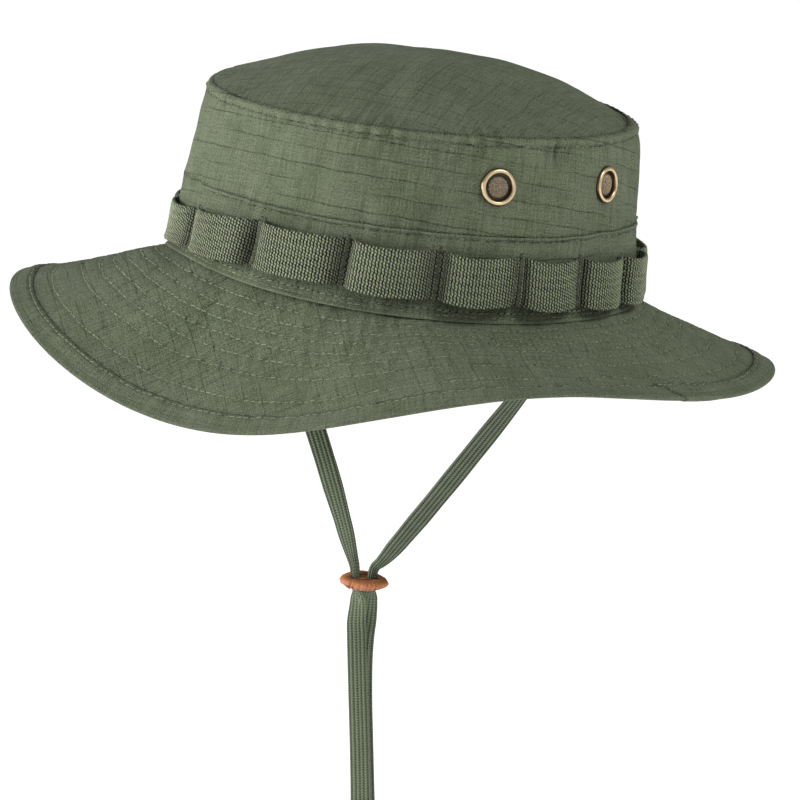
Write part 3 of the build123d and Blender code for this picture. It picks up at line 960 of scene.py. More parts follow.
def punch(piece, middle, out, radius):
    """Cuts a round hole through both faces of a cloth and joins the cut edges."""
    middle = Vector(middle) * MM
    axis = Vector(out)
    radius = radius * MM

    def from_axis(place):
        offset = place - middle
        return offset - axis * offset.dot(axis), abs(offset.dot(axis))

    mesh = bmesh.new()
    mesh.from_mesh(piece.data)
    cut = []
    for face in mesh.faces:
        offset, depth = from_axis(face.calc_center_median())
        if offset.length < radius and depth < 4 * radius:
            cut.append(face)
    bmesh.ops.delete(mesh, geom=cut, context="FACES")
    edges = [edge for edge in mesh.edges if edge.is_boundary]
    for vertex in {vertex for edge in edges for vertex in edge.verts}:
        offset, _ = from_axis(vertex.co)
        vertex.co += offset * (radius / offset.length - 1)
    bmesh.ops.bridge_loops(mesh, edges=edges)
    mesh.to_mesh(piece.data)
    mesh.free()


def make_crown():
    rows = np.concatenate([np.arange(0, 70, 1.25), np.linspace(70, CROWN_HEIGHT, 13)])
    side = cloth_ring("crown_side", side_cloth, rows, WALL_CLOTH, MATERIALS["ripstop"], side_grain, side_painted_light)
    for direction in VENTS.values():
        middle, _, _, out = vent_frame(direction)
        punch(side, middle, out, VENT_HOLE)
    hat_cloth(side, "ripstop", "crown_side_panel", (600, 78), ["crown_band"])

    rows = np.concatenate([np.linspace(0, 7, 12), np.arange(8, 32, 1.3), np.linspace(32.3, BAND_HEIGHT, 7)])

    def band_painted_light(direction, height):
        # Painted highlights on the band's fold and its lip, painted shadow under the webbing, painted shade
        # in the stitch rows, and darker down the back seam.
        tone = 0.10 * bump_at(height, BAND_HEIGHT, 0.5) + 0.12 * bump_at(height, 0, 0.7)
        tone = tone - 0.4 * bump_at(height, WEBBING_LOW - 1.5 - local_sum(direction, WEBBING_DIPS), 3.4)
        tone = tone - 0.4 * towards(direction, 180, 0.35)
        for row in (FOLD_STITCH, *BASE_STITCHES):
            tone = tone - 0.14 * bump_at(height, row, 0.7)
        return tone

    band = cloth_ring("crown_band", band_cloth, rows, BAND_CLOTH, MATERIALS["ripstop"], tone=band_painted_light)
    hat_cloth(band, "ripstop", "crown_lower_band", (622, 37), ["brim_upper"])

    make_crown_top()

    def tape_surface(direction, height):
        return wall(direction, height, PANEL_INNER - 0.3 + wall_relief(direction, height))

    rows = np.linspace(CROWN_HEIGHT - 11, CROWN_HEIGHT - 1.5, 8)
    tape = cloth_ring("top_seam_tape", tape_surface, rows, TAPE_CLOTH, MATERIALS["tape"], around=360)
    hat_cloth(tape, "tape", "crown_top_seam_tape", (560, 10), ["crown_side"])


def make_crown_top():
    """The top panel: rings of points about one in the middle, both faces, and a rolled rim."""
    shares = np.concatenate([np.linspace(0.012, 0.9, 56), np.linspace(0.912, 1, 14)])
    directions = np.arange(AROUND) * 360 / AROUND
    grid, share_grid = np.meshgrid(directions, shares)
    face = dome_cloth(grid, share_grid)
    back = face + normals_of(face) * WALL_CLOTH
    rim = (face[-1:] + back[-1:]) / 2 + unit(face[-1:] - face[-2:-1]) * 0.3
    points = np.concatenate([face, rim, back[::-1]])
    # Painted shade: dark in the seam's groove round the rim, a little darker all over, and darker on the side
    # towards direction -50.
    tone = -0.04 - 0.45 * np.exp(-(1 - share_grid) * TOP_X / 0.7)
    tone = tone - 0.09 * (0.5 + 0.5 * np.cos(np.radians(grid + 50))) * smooth_step(share_grid / 0.6)
    tone = np.concatenate([tone, tone[-1:], tone[::-1]])
    rows = len(points)
    count = rows * AROUND
    faces = quads_of(tube_index(rows, AROUND), True).tolist()
    faces += fan(count, 0, AROUND) + fan(count + 1, count - AROUND, AROUND, flip=True)
    middles = np.stack([face[0].mean(0), back[0].mean(0)])
    points = np.concatenate([points.reshape(-1, 3), middles])
    tone = np.concatenate([tone.ravel(), [0, 0]])
    corners = np.array([corner for one in faces for corner in one])
    # The cut is a disc, so its cloth coordinates are the plan turned a little.
    turned = np.radians(28)
    plan = points[:, :2] @ np.array([[np.cos(turned), -np.sin(turned)], [np.sin(turned), np.cos(turned)]])
    piece = make_object("crown_top", points, faces, MATERIALS["dome"], plan[corners], tone)
    cut_radius = 94.0
    flat = (2 * cut_radius, 2 * cut_radius)
    area = math.pi * (cut_radius * MM) ** 2
    hat_cloth(piece, "ripstop", "crown_top_panel", flat, ["crown_side"], area=area)


def make_inside():
    def inner_face(direction, height):
        out = PANEL_INNER - LAYER_GAP - SWEATBAND_CLOTH
        return wall(direction, height, out + wall_relief(direction, height))

    rows = np.linspace(-0.5, SWEATBAND_HEIGHT, 28)
    sweat = cloth_ring("inner_sweatband", inner_face, rows, -SWEATBAND_CLOTH, MATERIALS["lining"], around=480)
    hat_cloth(sweat, "sweatband_cloth", "sweatband", (596, 32), ["crown_side"])
    for name, direction in (("left", 90.0), ("right", -90.0)):
        low, high = node_box(f"chin_tab_{name}")
        tab = inner_patch(f"tab_{name}", direction, 14.0, low[2], high[2], 1.5, 0.9, MATERIALS["tape"])
        hat_cloth(tab, "tape", f"chin_tab_{name}", (14, 19), ["inner_sweatband"])
    low, high = node_box("size_label")
    tag = inner_patch("size_tag", 180.0, high[0] - low[0], low[2], high[2], 1.35, 0.3, MATERIALS["label"])
    hat_cloth(tag, "label_cloth", "size_label", (30, 18), ["inner_sweatband"])


def inner_patch(name, direction, width, low, high, inset, thickness, material):
    """A small patch of cloth on the sweatband's inner face."""
    half = np.degrees(width / 2 / BASE_Y)
    columns = np.linspace(direction - half, direction + half, 21)
    grid, row_grid = np.meshgrid(columns, np.linspace(low, high, 21))
    relief = wall_relief(grid, row_grid)
    face = wall(grid, row_grid, PANEL_INNER - SWEATBAND_CLOTH - inset + relief)
    back = wall(grid, row_grid, PANEL_INNER - SWEATBAND_CLOTH - inset + thickness + relief)
    uv = np.stack([np.radians(grid) * BASE_Y, row_grid], -1)
    points = thick_section(face, back)
    count = len(points)
    uv = join_rows(section_rows(uv))
    index = (np.arange(count + 1) % count)[:, None] * len(columns) + np.arange(len(columns))
    faces = quads_of(index, True).tolist()
    corners = quads_of(np.arange(index.size).reshape(index.shape), True).ravel()
    uv = uv.reshape(-1, 2)
    uv_rows = uv[corners].tolist()
    # The two ends are closed by a strip of faces between the two faces of the cloth.
    rows = len(face)
    for column in (0, len(columns) - 1):
        for row in range(rows - 1):
            here, after = row, row + 1
            pair = [here, after, count - 2 - after, count - 2 - here]
            ends = [number * len(columns) + column for number in pair]
            if column:
                ends.reverse()
            faces.append(ends)
            uv_rows += [uv[number].tolist() for number in ends]
    tone = np.zeros(points.shape[:2])
    return make_object(name, points.reshape(-1, 3), faces, material, uv_rows, tone.ravel())


def make_brim():
    rows = np.concatenate([np.linspace(-0.5, 2, 4), np.arange(3.1, BRIM_WIDTH - 1.4, 1.05)])
    flat = (326, 338)
    area = 0.0535

    def plan(direction, cloth):
        """The brim is cut flat, so its cloth coordinates are the plan of a flat ring, turned a little."""
        radius = BASE_X + cloth
        angle = np.radians(direction + 31)
        return np.stack([radius * np.sin(angle), radius * np.cos(angle)], -1)

    def brim_painted_light(direction, cloth):
        # Painted shade along the binding's inner edge, at the crown's foot and in the quilting channels;
        # painted shade towards direction -18 and painted light towards 106.
        inside = BRIM_WIDTH - BINDING_WIDTH
        tone = -0.30 * bump_at(cloth, inside - 0.2, 0.55) - 0.30 * bump_at(cloth, 0.8, 0.9)
        for row in QUILTING_ROWS:
            tone = tone - 0.09 * bump_at(cloth, row, 0.9)
        # At the two sides the binding's edge stands up, and painted shade darkens the cloth inside it.
        shaded = towards(direction, 128, 24) + 0.5 * towards(direction, -42, 24)
        tone = tone - 0.5 * shaded * bump_at(cloth, inside - 0.4, 0.7)
        tone = tone - 0.10 * towards(direction, -18, 48)
        return tone + 0.09 * towards(direction, 106, 26)

    for name, surface, side, node in (
        ("brim_upper", brim_top, -1, "brim_top_layer"),
        ("brim_lower", brim_under, 1, "brim_bottom_layer"),
    ):
        layer = cloth_ring(name, surface, rows, BRIM_CLOTH, MATERIALS["brim"], plan, brim_painted_light, side=side)
        hat_cloth(layer, "ripstop", node, flat, ["brim_core"], area=area)

    def core_face(direction, cloth):
        return brim(direction, cloth, BRIM_CLOTH + LAYER_GAP - brim_relief(direction, cloth))

    core_rows = np.linspace(0.5, BRIM_WIDTH - 3, 40)
    core_thickness = BRIM_STACK - 2 * (BRIM_CLOTH + LAYER_GAP)
    core = cloth_ring(
        "brim_core", core_face, core_rows, core_thickness, MATERIALS["interlining"], side=-1, around=320
    )
    hat_cloth(core, "interlining", "brim_interlining", flat, ["crown_band"], area=area)
    make_binding()


binding_waves = Ripples(14, 60, 170, 40)


def lap_distance(direction, cloth):
    """How many degrees past the binding's slanted end a place lies."""
    return turn_between(direction, BINDING_LAP) + LAP_SLANT * (BRIM_WIDTH - cloth)


def binding_point(direction, place):
    """The outer face of the binding, from -1 at its upper free edge, through 0 at the fold, to 1 below."""
    half = BRIM_STACK / 2 + BINDING_GAP + TAPE_CLOTH
    flat_share = np.abs(place)
    flat_part = np.clip((flat_share - FOLD_SHARE) / (1 - FOLD_SHARE), 0, 1)
    turn = np.clip(flat_share / FOLD_SHARE, 0, 1) * math.pi / 2
    cloth = BRIM_WIDTH - FOLD_DEPTH * (1 - np.cos(turn)) - flat_part * (BINDING_WIDTH - FOLD_DEPTH)
    pucker = 0.07 * binding_waves(direction) * bump_at(cloth, BRIM_WIDTH - BINDING_WIDTH + 1, 2.5)
    channel = 0.28 * bump_at(cloth, BINDING_ROW, 0.8)
    lap = lap_distance(direction, cloth)
    lapped = 0.6 * smooth_step(lap / 0.35) * (1 - smooth_step((lap - 7) / 3))
    sunk = 0.5 * smooth_step((flat_share - 0.88) / 0.12) * (1 - towards(direction, 128, 26))
    height = half - channel - sunk + pucker + lapped
    below = BRIM_STACK / 2 + np.sign(place) * np.sin(turn) * height
    return brim(direction, cloth, below - brim_relief(direction, cloth) * (flat_share > 0))


def make_binding():
    """Tape folded over the brim's edge, with one end lapped over the other."""
    places = np.concatenate(
        [np.linspace(-1, -FOLD_SHARE, 13), np.linspace(-0.12, 0.12, 9), np.linspace(FOLD_SHARE, 1, 13)]
    )
    columns = 800
    directions = np.arange(columns) * 360 / columns
    grid, place_grid = np.meshgrid(directions, places)
    face = binding_point(grid, place_grid)
    normal = normals_of(face)
    middle = brim(grid, np.full_like(grid, BRIM_WIDTH - 6), BRIM_STACK / 2)
    inward = np.sign(((middle - face) * normal).sum(-1, keepdims=True))
    back = face + normal * inward * TAPE_CLOTH * 0.9
    points = thick_section(face, back, 0.3)
    length = ring_length(face[len(places) // 2])
    along, across = np.meshgrid(np.arange(columns + 1) * length / columns, places * 11)
    uv = join_rows(section_rows(np.stack([along, across], -1)))
    cloth_grid = BRIM_WIDTH - (np.abs(place_grid) - FOLD_SHARE) / (1 - FOLD_SHARE) * BINDING_WIDTH
    # Painted shade on the binding: along its folded edge, in its stitch channel, beside the lapped end, at
    # its free edges and towards direction -18; it is also a little darker all over.
    darkening = -0.04 - 0.12 * bump_at(place_grid, 0, 0.12) - 0.10 * towards(grid, -18, 48)
    darkening = darkening - 0.14 * bump_at(cloth_grid, BINDING_ROW, 0.8)
    darkening = darkening - 0.6 * bump_at(lap_distance(grid, cloth_grid), -0.1, 0.3)
    darkening = darkening - 0.3 * bump_at(np.abs(place_grid), 1, 0.03)
    piece = grid_object("brim_binding_tape", points, uv, MATERIALS["binding"], section_rows(darkening), flip=True)
    hat_cloth(piece, "tape", "brim_binding", (22, 1000), ["brim_upper", "brim_lower"], held="folded")


# ------------------------------------------------------------------------------------------- stitching
def sew(name, found, level=0.0, length=2.9, radius=0.27, seed=0):
    """One piece of thread, from the centres, directions and normals of several rows."""
    centres, along, normal = (np.concatenate(values) for values in zip(*found))
    piece = stitches(name, centres, along, normal, length, radius, level=level, seed=seed)
    return hat_piece(piece, "thread")


def sew_rows(name, surface, rows, level, side=1, radius=0.27, seed=0):
    """One piece of thread for rows that run all round a surface."""
    found = [along_row(surface, row, STITCH_PITCH, side=side, seed=seed + i) for i, row in enumerate(rows)]
    sew(name, found, level, radius=radius, seed=seed)


def sew_back_seam():
    """Two rows of stitching up the side panel's back seam."""
    heights = np.arange(BAND_HEIGHT + 2, TOP_STITCH - 1, STITCH_PITCH)
    found = []
    for offset in (-1.4, 1.4):
        here = side_cloth(180.0 + offset, heights)
        rising = unit(side_cloth(180.0 + offset, heights + 0.3) - here)
        level = side_cloth(180.3 + offset, heights) - here
        found.append((here, rising, unit(np.cross(level, rising))))
    sew("thread_back_seam", found, -0.3, 2.7, seed=50)


def sew_binding():
    """A row of stitching through the binding, seen on its upper and its lower face."""
    place = BRIM_WIDTH - BINDING_ROW
    share = FOLD_SHARE + (1 - FOLD_SHARE) * (place - FOLD_DEPTH) / (BINDING_WIDTH - FOLD_DEPTH)
    found = []
    for sign in (-1, 1):

        def face(direction, row):
            return binding_point(direction, sign * row)

        here, along, normal = along_row(face, share, 3.0, wander=0.01, seed=30)
        found.append((here, along, normal * np.sign(-sign * normal[:, 2:])))
    sew("thread_binding", found, -0.12, seed=31)


def make_stitching():
    # Each row's level darkens its thread with painted shade.
    sew_back_seam()
    sew_rows("thread_top_seam", side_cloth, [TOP_STITCH], -0.62, seed=1)
    sew_rows("thread_band_fold", band_cloth, [FOLD_STITCH], -0.6, seed=4)
    sew_rows("thread_base_seam", band_cloth, BASE_STITCHES, -0.3, radius=0.3, seed=7)
    sew_rows("thread_quilting_upper", brim_top, QUILTING_ROWS, -0.2, side=-1, seed=10)
    sew_rows("thread_quilting_lower", brim_under, QUILTING_ROWS, -0.12, seed=20)
    sew_binding()


# --------------------------------------------------------------------------------------------- webbing
def make_webbing():
    """The band of webbing, its columns evenly spaced along its own length."""
    fine = np.linspace(TACKS[0], TACKS[0] + 360, 7201)
    line = webbing(fine, WEBBING_WIDTH / 2, WEBBING_THICKNESS)
    travelled = lengths_along(line)
    length = travelled[-1]
    ribs = int(length / RIB_PITCH)
    columns = ribs * 4
    places = np.arange(columns) * length / columns
    directions = np.interp(places, travelled, fine)
    rows = np.linspace(0, WEBBING_WIDTH, 33)
    grid, row_grid = np.meshgrid(directions, rows)
    place_grid = np.broadcast_to(places, grid.shape)
    edge = 0.25 * (bump_at(row_grid, 0, 0.8) + bump_at(row_grid, WEBBING_WIDTH, 0.8))
    sway = RIB_SWAY * np.sin(2 * math.pi * row_grid / SLASH_PITCH / 2)
    rib = RIB_DEPTH * np.sin(2 * math.pi * (place_grid * ribs / length + sway / RIB_PITCH))
    face = webbing(grid, row_grid, WEBBING_THICKNESS - edge + rib)
    back_rows = np.linspace(WEBBING_WIDTH, 0, 7)
    back_grid, back_row_grid = np.meshgrid(directions, back_rows)
    back = webbing(back_grid, back_row_grid, 0.0)
    points = np.concatenate([face, back])
    # Painted shade in the valley at each tack, deeper at each loop's far end, and on the webbing's back face.
    _, share = loop_of(grid)
    valley_shade = 0.7 * bump_at(share, 0, 0.035) + 1.15 * bump_at(share, 1, 0.13)
    tone = np.concatenate([-valley_shade, np.full(back.shape[:2], -0.2)])
    cloth_places = np.arange(columns + 1) * ribs * RIB_PITCH / columns
    along, across = np.meshgrid(cloth_places, np.concatenate([rows, back_rows]))
    uv = join_rows(np.stack([along, across], -1))
    piece = grid_object("loop_webbing", points, uv, MATERIALS["webbing"], tone)
    hat_cloth(piece, "webbing", "foliage_band", (WEBBING_WIDTH, length), ["crown_band"], held="gathered")
    make_bartacks()


BARTACK_PITCH = 0.62
TUFT_LEANS = (-0.5, 0.1, 0.6)


def make_bartacks():
    """A dense bar of thread across the webbing at each tack, with a loose tuft at its top."""
    draw = np.random.default_rng(SEED + 60)
    centres, along, normal = [], [], []
    for direction in TACKS[1 : LOOPS + 1]:
        level = unit(webbing(direction + 0.3, 9.0, 1.3) - webbing(direction - 0.3, 9.0, 1.3))
        side_x, side_y = outward(direction)
        out = np.array([side_x, side_y, 0.0])
        for up in np.arange(0.7, WEBBING_WIDTH - 0.3, BARTACK_PITCH):
            point = webbing(np.float64(direction), up, WEBBING_THICKNESS + 0.05)
            centres.append(point)
            along.append(unit(level + np.array([0, 0, draw.normal(0.12, 0.1)])))
            normal.append(out)
        for lean in TUFT_LEANS:
            centres.append(webbing(np.float64(direction), WEBBING_WIDTH + 0.6, WEBBING_THICKNESS))
            along.append(unit(level * lean + np.array([0, 0, 1.0])))
            normal.append(out)
    centres, along, normal = (np.array(values) for values in (centres, along, normal))
    # The bars' thread is darkened with painted shade.
    piece = stitches("thread_bartacks", centres, along, normal, 2.2, 0.28, tone=0.06, level=-0.7, seed=61)
    hat_piece(piece, "thread", "foliage_bartacks")


# ----------------------------------------------------------------------------------------------- vents
def vent_frame(direction):
    """The middle of a vent on the cloth, and its level, rising and outward directions."""
    middle = wall(direction, VENT_HEIGHT, PANEL_OUT + wall_relief(np.float64(direction), VENT_HEIGHT))
    level = unit(wall(direction + 0.5, VENT_HEIGHT, 0.0) - wall(direction - 0.5, VENT_HEIGHT, 0.0))
    rising = unit(wall(direction, VENT_HEIGHT + 1, 0.0) - wall(direction, VENT_HEIGHT - 1, 0.0))
    out = unit(np.cross(level, rising))
    return middle, level, np.cross(out, level), out


VENT_COLUMNS = 72


def brass_ring(name, section, middle, level, rising, out, tones=None, flip=False):
    """A closed section of (radius, height) points turned about an axis, in brass."""
    angles = np.arange(VENT_COLUMNS) * 2 * math.pi / VENT_COLUMNS
    section = np.array(section)
    radial = level * np.cos(angles)[:, None] + rising * np.sin(angles)[:, None]
    points = middle + section[:, None, :1] * radial[None] + section[:, None, 1:] * out
    uv = np.zeros((len(section) + 1, VENT_COLUMNS + 1, 2))
    if tones is not None:
        tones = np.repeat(np.array(tones)[:, None], VENT_COLUMNS, 1)
    return grid_object(name, points, uv, MATERIALS["brass"], tones, flip=flip)


# Sections of the eyelet's rim and of its washer as (radius, height) points, and how rubbed each rim point is.
RIM_SECTION = (
    (VENT_BORE, -1.6), (VENT_BORE - 0.05, 0.4), (VENT_BORE + 0.15, 0.95), (VENT_BORE + 0.55, 1.4),
    (VENT_BORE + 0.85, 1.55), (VENT_RIM - 0.7, 1.45), (VENT_RIM - 0.35, 1.1), (VENT_RIM - 0.1, 0.65),
    (VENT_RIM, 0.2), (VENT_RIM - 0.15, -0.1), (VENT_BORE + 0.6, -0.1), (VENT_BORE + 0.55, -1.6),
)
RIM_TONES = (0.0, 0.0, 0.15, 0.7, 1.0, 0.85, 0.4, 0.05, 0.0, 0.0, 0.0, 0.0)
WASHER_DEPTH = 2.4
SCREEN_DEPTH = 0.6
WASHER_SECTION = ((5.7, 0.3), (5.7, -0.3), (7.2, -0.3), (7.5, 0.0), (7.2, 0.3))


def make_vents():
    for name, direction in VENTS.items():
        middle, level, rising, out = vent_frame(direction)
        rim = brass_ring(f"vent_{name}_rim", RIM_SECTION, middle, level, rising, out, RIM_TONES, flip=True)
        hat_piece(rim, "antique_brass", f"vent_rim_{name}")
        back = middle - out * WASHER_DEPTH
        washer = brass_ring(f"vent_{name}_washer", WASHER_SECTION, back, level, rising, out)
        hat_piece(washer, "antique_brass", f"vent_washer_{name}")
        screen = woven_screen(f"vent_{name}_screen", middle - out * SCREEN_DEPTH, level, rising, out)
        hat_piece(screen, "vent_mesh", f"vent_screen_{name}")


def woven_screen(name, middle, level, rising, out):
    """Wires that pass over and under each other, cut to the bore's circle: a low dome, with a painted shadow
    darkening its edge.
    """
    radius = VENT_BORE + 0.1
    pitch = 2 * radius / VENT_WIRES
    sides = np.arange(WIRE_SIDES) * 2 * math.pi / WIRE_SIDES
    all_points, all_faces, all_tones, offset = [], [], [], 0
    for first, second in ((level, rising), (rising, level)):
        for number in range(VENT_WIRES):
            across = (number + 0.5) * pitch - radius
            half = math.sqrt(max(radius**2 - across**2, 0.2))
            steps = max(8, int(2 * half / pitch * 6))
            along = np.linspace(-half, half, steps)
            phase = number % 2 + (0 if first is level else 1)
            lift = WIRE_LIFT * np.sin(math.pi * (along + radius) / pitch + math.pi * phase)
            from_middle = np.sqrt(along**2 + across**2) / radius
            domed = SCREEN_DOME * (1 - from_middle**2)
            line = middle + first * along[:, None] + second * across + out * (lift + domed)[:, None]
            ring = [(second * math.cos(angle) + out * math.sin(angle)) * WIRE_RADIUS for angle in sides]
            points = line[:, None] + np.array(ring)[None]
            all_points.append(points.reshape(-1, 3))
            # Painted shadow darkens the wires near the bore's edge; inside it they are a little lighter.
            all_tones.append(np.repeat(0.3 - 1.1 * smooth_step((from_middle - 0.7) / 0.1), WIRE_SIDES))
            all_faces.append(quads_of(tube_index(steps, WIRE_SIDES, offset), False))
            offset += steps * WIRE_SIDES
    points, faces, tones = (np.concatenate(values) for values in (all_points, all_faces, all_tones))
    return make_object(name, points, faces, MATERIALS["wire"], tone=tones)


# ------------------------------------------------------------------------------------------ chin strap
STRAP_DOWN = Vector((0.065, 0.070, -1)).normalized()
KEEPER_AT = Vector((-16.2, 9.9, -136))
KEEPER_LONG = Vector((0.686, 0.728, 0.0955)).normalized()
KEEPER_SHORT = KEEPER_LONG.cross(STRAP_DOWN)
HINGE_HEIGHT = -2.0


def strap_point(along, across, below):
    """A point of the strap measured from the keeper's middle."""
    return KEEPER_AT + KEEPER_LONG * along + KEEPER_SHORT * across + STRAP_DOWN * below


def leg_route(places, hole):
    """A leg's route: down from its anchor, then into the keeper at one of its holes."""
    into_keeper = [strap_point(hole, 0.0, -5.6), strap_point(hole, 0.0, 0.0)]
    return [Vector(place) for place in places] + into_keeper


RIGHT_LEG = leg_route(
    (
        (-88.4, 0.0, HINGE_HEIGHT),
        (-88.2, 0.8, -11.0),
        (-82.0, 1.9, -27.0),
        (-66.5, 3.9, -52.0),
        (-49.2, 5.6, -79.0),
        (-33.0, 7.2, -107.5),
        (-22.8, 7.4, -125.5),
    ),
    -KEEPER_HOLE,
)
LEFT_LEG = leg_route(
    (
        (88.4, 0.0, HINGE_HEIGHT),
        (88.6, 0.9, -11.0),
        (80.5, 2.0, -26.5),
        (58.2, 3.8, -53.0),
        (27.4, 6.2, -89.0),
        (4.0, 9.0, -114.5),
        (-6.2, 10.7, -125.0),
    ),
    KEEPER_HOLE,
)
# Down from one hole, round the end loop and up to the other hole.
TAIL_PLACES = (
    (-KEEPER_HOLE, 0.0, 0.0),
    (-KEEPER_HOLE, 0.0, 8.0),
    (-3.3, -2.0, 20.0),
    (-2.9, -2.9, 43.0),
    (-1.8, -3.1, 87.0),
    (-1.7, -2.9, 134.0),
    (-5.0, -2.4, 172.0),
    (-13.0, -1.5, 197.0),
    (-20.0, -0.6, 219.0),
    (-12.5, 0.0, 240.0),
    (12.0, 0.2, 240.0),
    (20.0, 0.8, 219.0),
    (13.0, 1.6, 197.0),
    (4.6, 2.5, 172.0),
    (0.9, 2.9, 134.0),
    (-0.2, 3.1, 87.0),
    (-1.4, 2.9, 43.0),
    (0.2, 2.0, 20.0),
    (KEEPER_HOLE, 0.0, 8.0),
    (KEEPER_HOLE, 0.0, 0.0),
)
TAIL = [strap_point(*place) for place in TAIL_PLACES]


def smooth_line(route):
    """Points read from the NURBS spline that a route controls, in millimetres."""
    curve = bpy.data.curves.new("route", "CURVE")
    curve.dimensions = "3D"
    curve.resolution_u = 16
    spline = curve.splines.new("NURBS")
    spline.points.add(len(route) - 1)
    for point, place in zip(spline.points, route):
        point.co = (*(place * MM), 1.0)
    spline.order_u = 3
    spline.use_endpoint_u = True
    holder = bpy.data.objects.new("route", curve)
    bpy.context.scene.collection.objects.link(holder)
    bpy.context.view_layer.update()
    mesh = bpy.data.meshes.new_from_object(holder)
    line = np.array([vertex.co for vertex in mesh.vertices]) / MM
    bpy.data.objects.remove(holder)
    bpy.data.meshes.remove(mesh)
    return line


def even_line(line, step):
    travelled = lengths_along(line)
    places = np.linspace(0, travelled[-1], int(travelled[-1] / step) + 1)
    return np.stack([np.interp(places, travelled, line[:, i]) for i in range(3)], 1), places


BRAID_RIBS = 5
KNIT_PITCH = 1.4
BRAID_SIDES = 72


def braid_section():
    """The braid's flat section as (across, through) from -1 to 1, with ribs on both faces."""
    turn = np.arange(BRAID_SIDES) * 2 * math.pi / BRAID_SIDES
    across = np.sign(np.cos(turn)) * np.abs(np.cos(turn)) ** 0.75
    through = np.sign(np.sin(turn)) * np.abs(np.sin(turn)) ** 0.6
    rib = np.cos(across * BRAID_RIBS * math.pi)
    groove = 0.5 - 0.5 * rib
    return across, through * (0.62 + 0.38 * groove), groove


def make_braid(name, route, facing, start_width, end_width, narrowing, nodes, gathered=0.0, shade=0.0):
    """A flat braid along a route. facing(share) is the way its flat side looks; it narrows at a keeper.

    gathered is how far the strands of the tail are drawn together just below the keeper."""
    line, places = even_line(smooth_line(route), 0.7)
    tangent = unit(np.gradient(line, axis=0))
    shares = places / places[-1]
    looks = unit(np.array([facing(share) for share in shares]))
    across_way = unit(np.cross(tangent, looks))
    through_way = unit(np.cross(across_way, tangent))
    narrow = np.ones(len(places))
    for width, distance in ((start_width, places), (end_width, places[-1] - places)):
        share = smooth_step((distance - 2) / narrowing)
        narrow = np.minimum(narrow, width / BRAID_WIDTH + (1 - width / BRAID_WIDTH) * share)
    half_width = BRAID_WIDTH / 2 * narrow
    half_thick = np.minimum(BRAID_THICKNESS / 2 / np.sqrt(narrow), BRAID_THROAT / 2)
    draw = np.random.default_rng(SEED + len(route))
    wave = np.interp(places, np.linspace(0, places[-1], 12), draw.normal(0, 0.06, 12))
    from_end = np.minimum(places, places[-1] - places)
    drawn_in = gathered * smooth_step(from_end / 3) * (1 - smooth_step((from_end - 6) / 14))
    middle = line - across_way * drawn_in[:, None]
    across, through, groove = braid_section()
    half_width = half_width * (1 + wave)
    points = (
        middle[:, None]
        + across_way[:, None] * (across[None] * half_width[:, None])[..., None]
        + through_way[:, None] * (through[None] * half_thick[:, None])[..., None]
    )
    knit = 0.07 * np.sin(2 * math.pi * places / KNIT_PITCH)[:, None] * np.ones(len(across))
    points = points + through_way[:, None] * (knit * np.sign(through))[..., None]
    around = np.arange(BRAID_SIDES + 1) / BRAID_SIDES * 2 * (BRAID_WIDTH + BRAID_THICKNESS)
    uv = np.stack(np.broadcast_arrays(places[:, None], around[None]), -1)
    # Painted shade in the grooves between the ribs; shade adds painted light or shade to the whole strand.
    tone = np.broadcast_to(0.10 + shade - 0.8 * (1 - groove) ** 2, points.shape[:2])
    piece = grid_object(name, points, uv, MATERIALS["braid"], tone, closed=(False, True))
    close_ends(piece, len(places))
    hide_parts(*nodes)
    return piece, line, places[-1]


def close_ends(piece, rows):
    """Closes a tube of BRAID_SIDES columns with a fan of quads at each end."""
    mesh = bmesh.new()
    mesh.from_mesh(piece.data)
    mesh.verts.ensure_lookup_table()
    for first, step in ((0, -1), ((rows - 1) * BRAID_SIDES, 1)):
        ring = [mesh.verts[first + number] for number in range(BRAID_SIDES)]
        for number in range(BRAID_SIDES // 2 - 1):
            corners = [ring[number], ring[number + 1], ring[-number - 2], ring[-number - 1]]
            face = mesh.faces.new(corners[::step])
            face.smooth = True
            face.material_index = 0
    mesh.to_mesh(piece.data)
    mesh.free()


VIEW_FACING = np.array([0.70, -0.70, 0.10])
BACK_FACING = np.array([0.70, 0.70, 0.10])


def turned_facing(degrees):
    """Forward and to the wearer's left, turned this far towards the back."""
    turn = math.radians(degrees)
    return VIEW_FACING * math.cos(turn) + BACK_FACING * math.sin(turn)


def leg_facing(side, first_turn, last_turn):
    """Flat against the sweatband at the anchor, then turned forward, with a slow twist down to the keeper."""
    start = np.array([side, 0.0, 0.0])

    def facing(share):
        turned = smooth_step(share / 0.45)
        end = turned_facing(first_turn + (last_turn - first_turn) * smooth_step((share - 0.5) / 0.4))
        return start * (1 - turned) + end * turned

    return facing


def tail_facing(share):
    """Flat, but for the first centimetres below the keeper, where each strand is folded on itself."""
    first = -48 * (1 - smooth_step(share / 0.05))
    last = 48 * (1 - smooth_step((1 - share) / 0.05))
    return turned_facing(first + last)


def hang(line):
    """Reads the points of a braid's line in metres and keeps nothing of them."""
    [tuple(point * MM) for point in line]


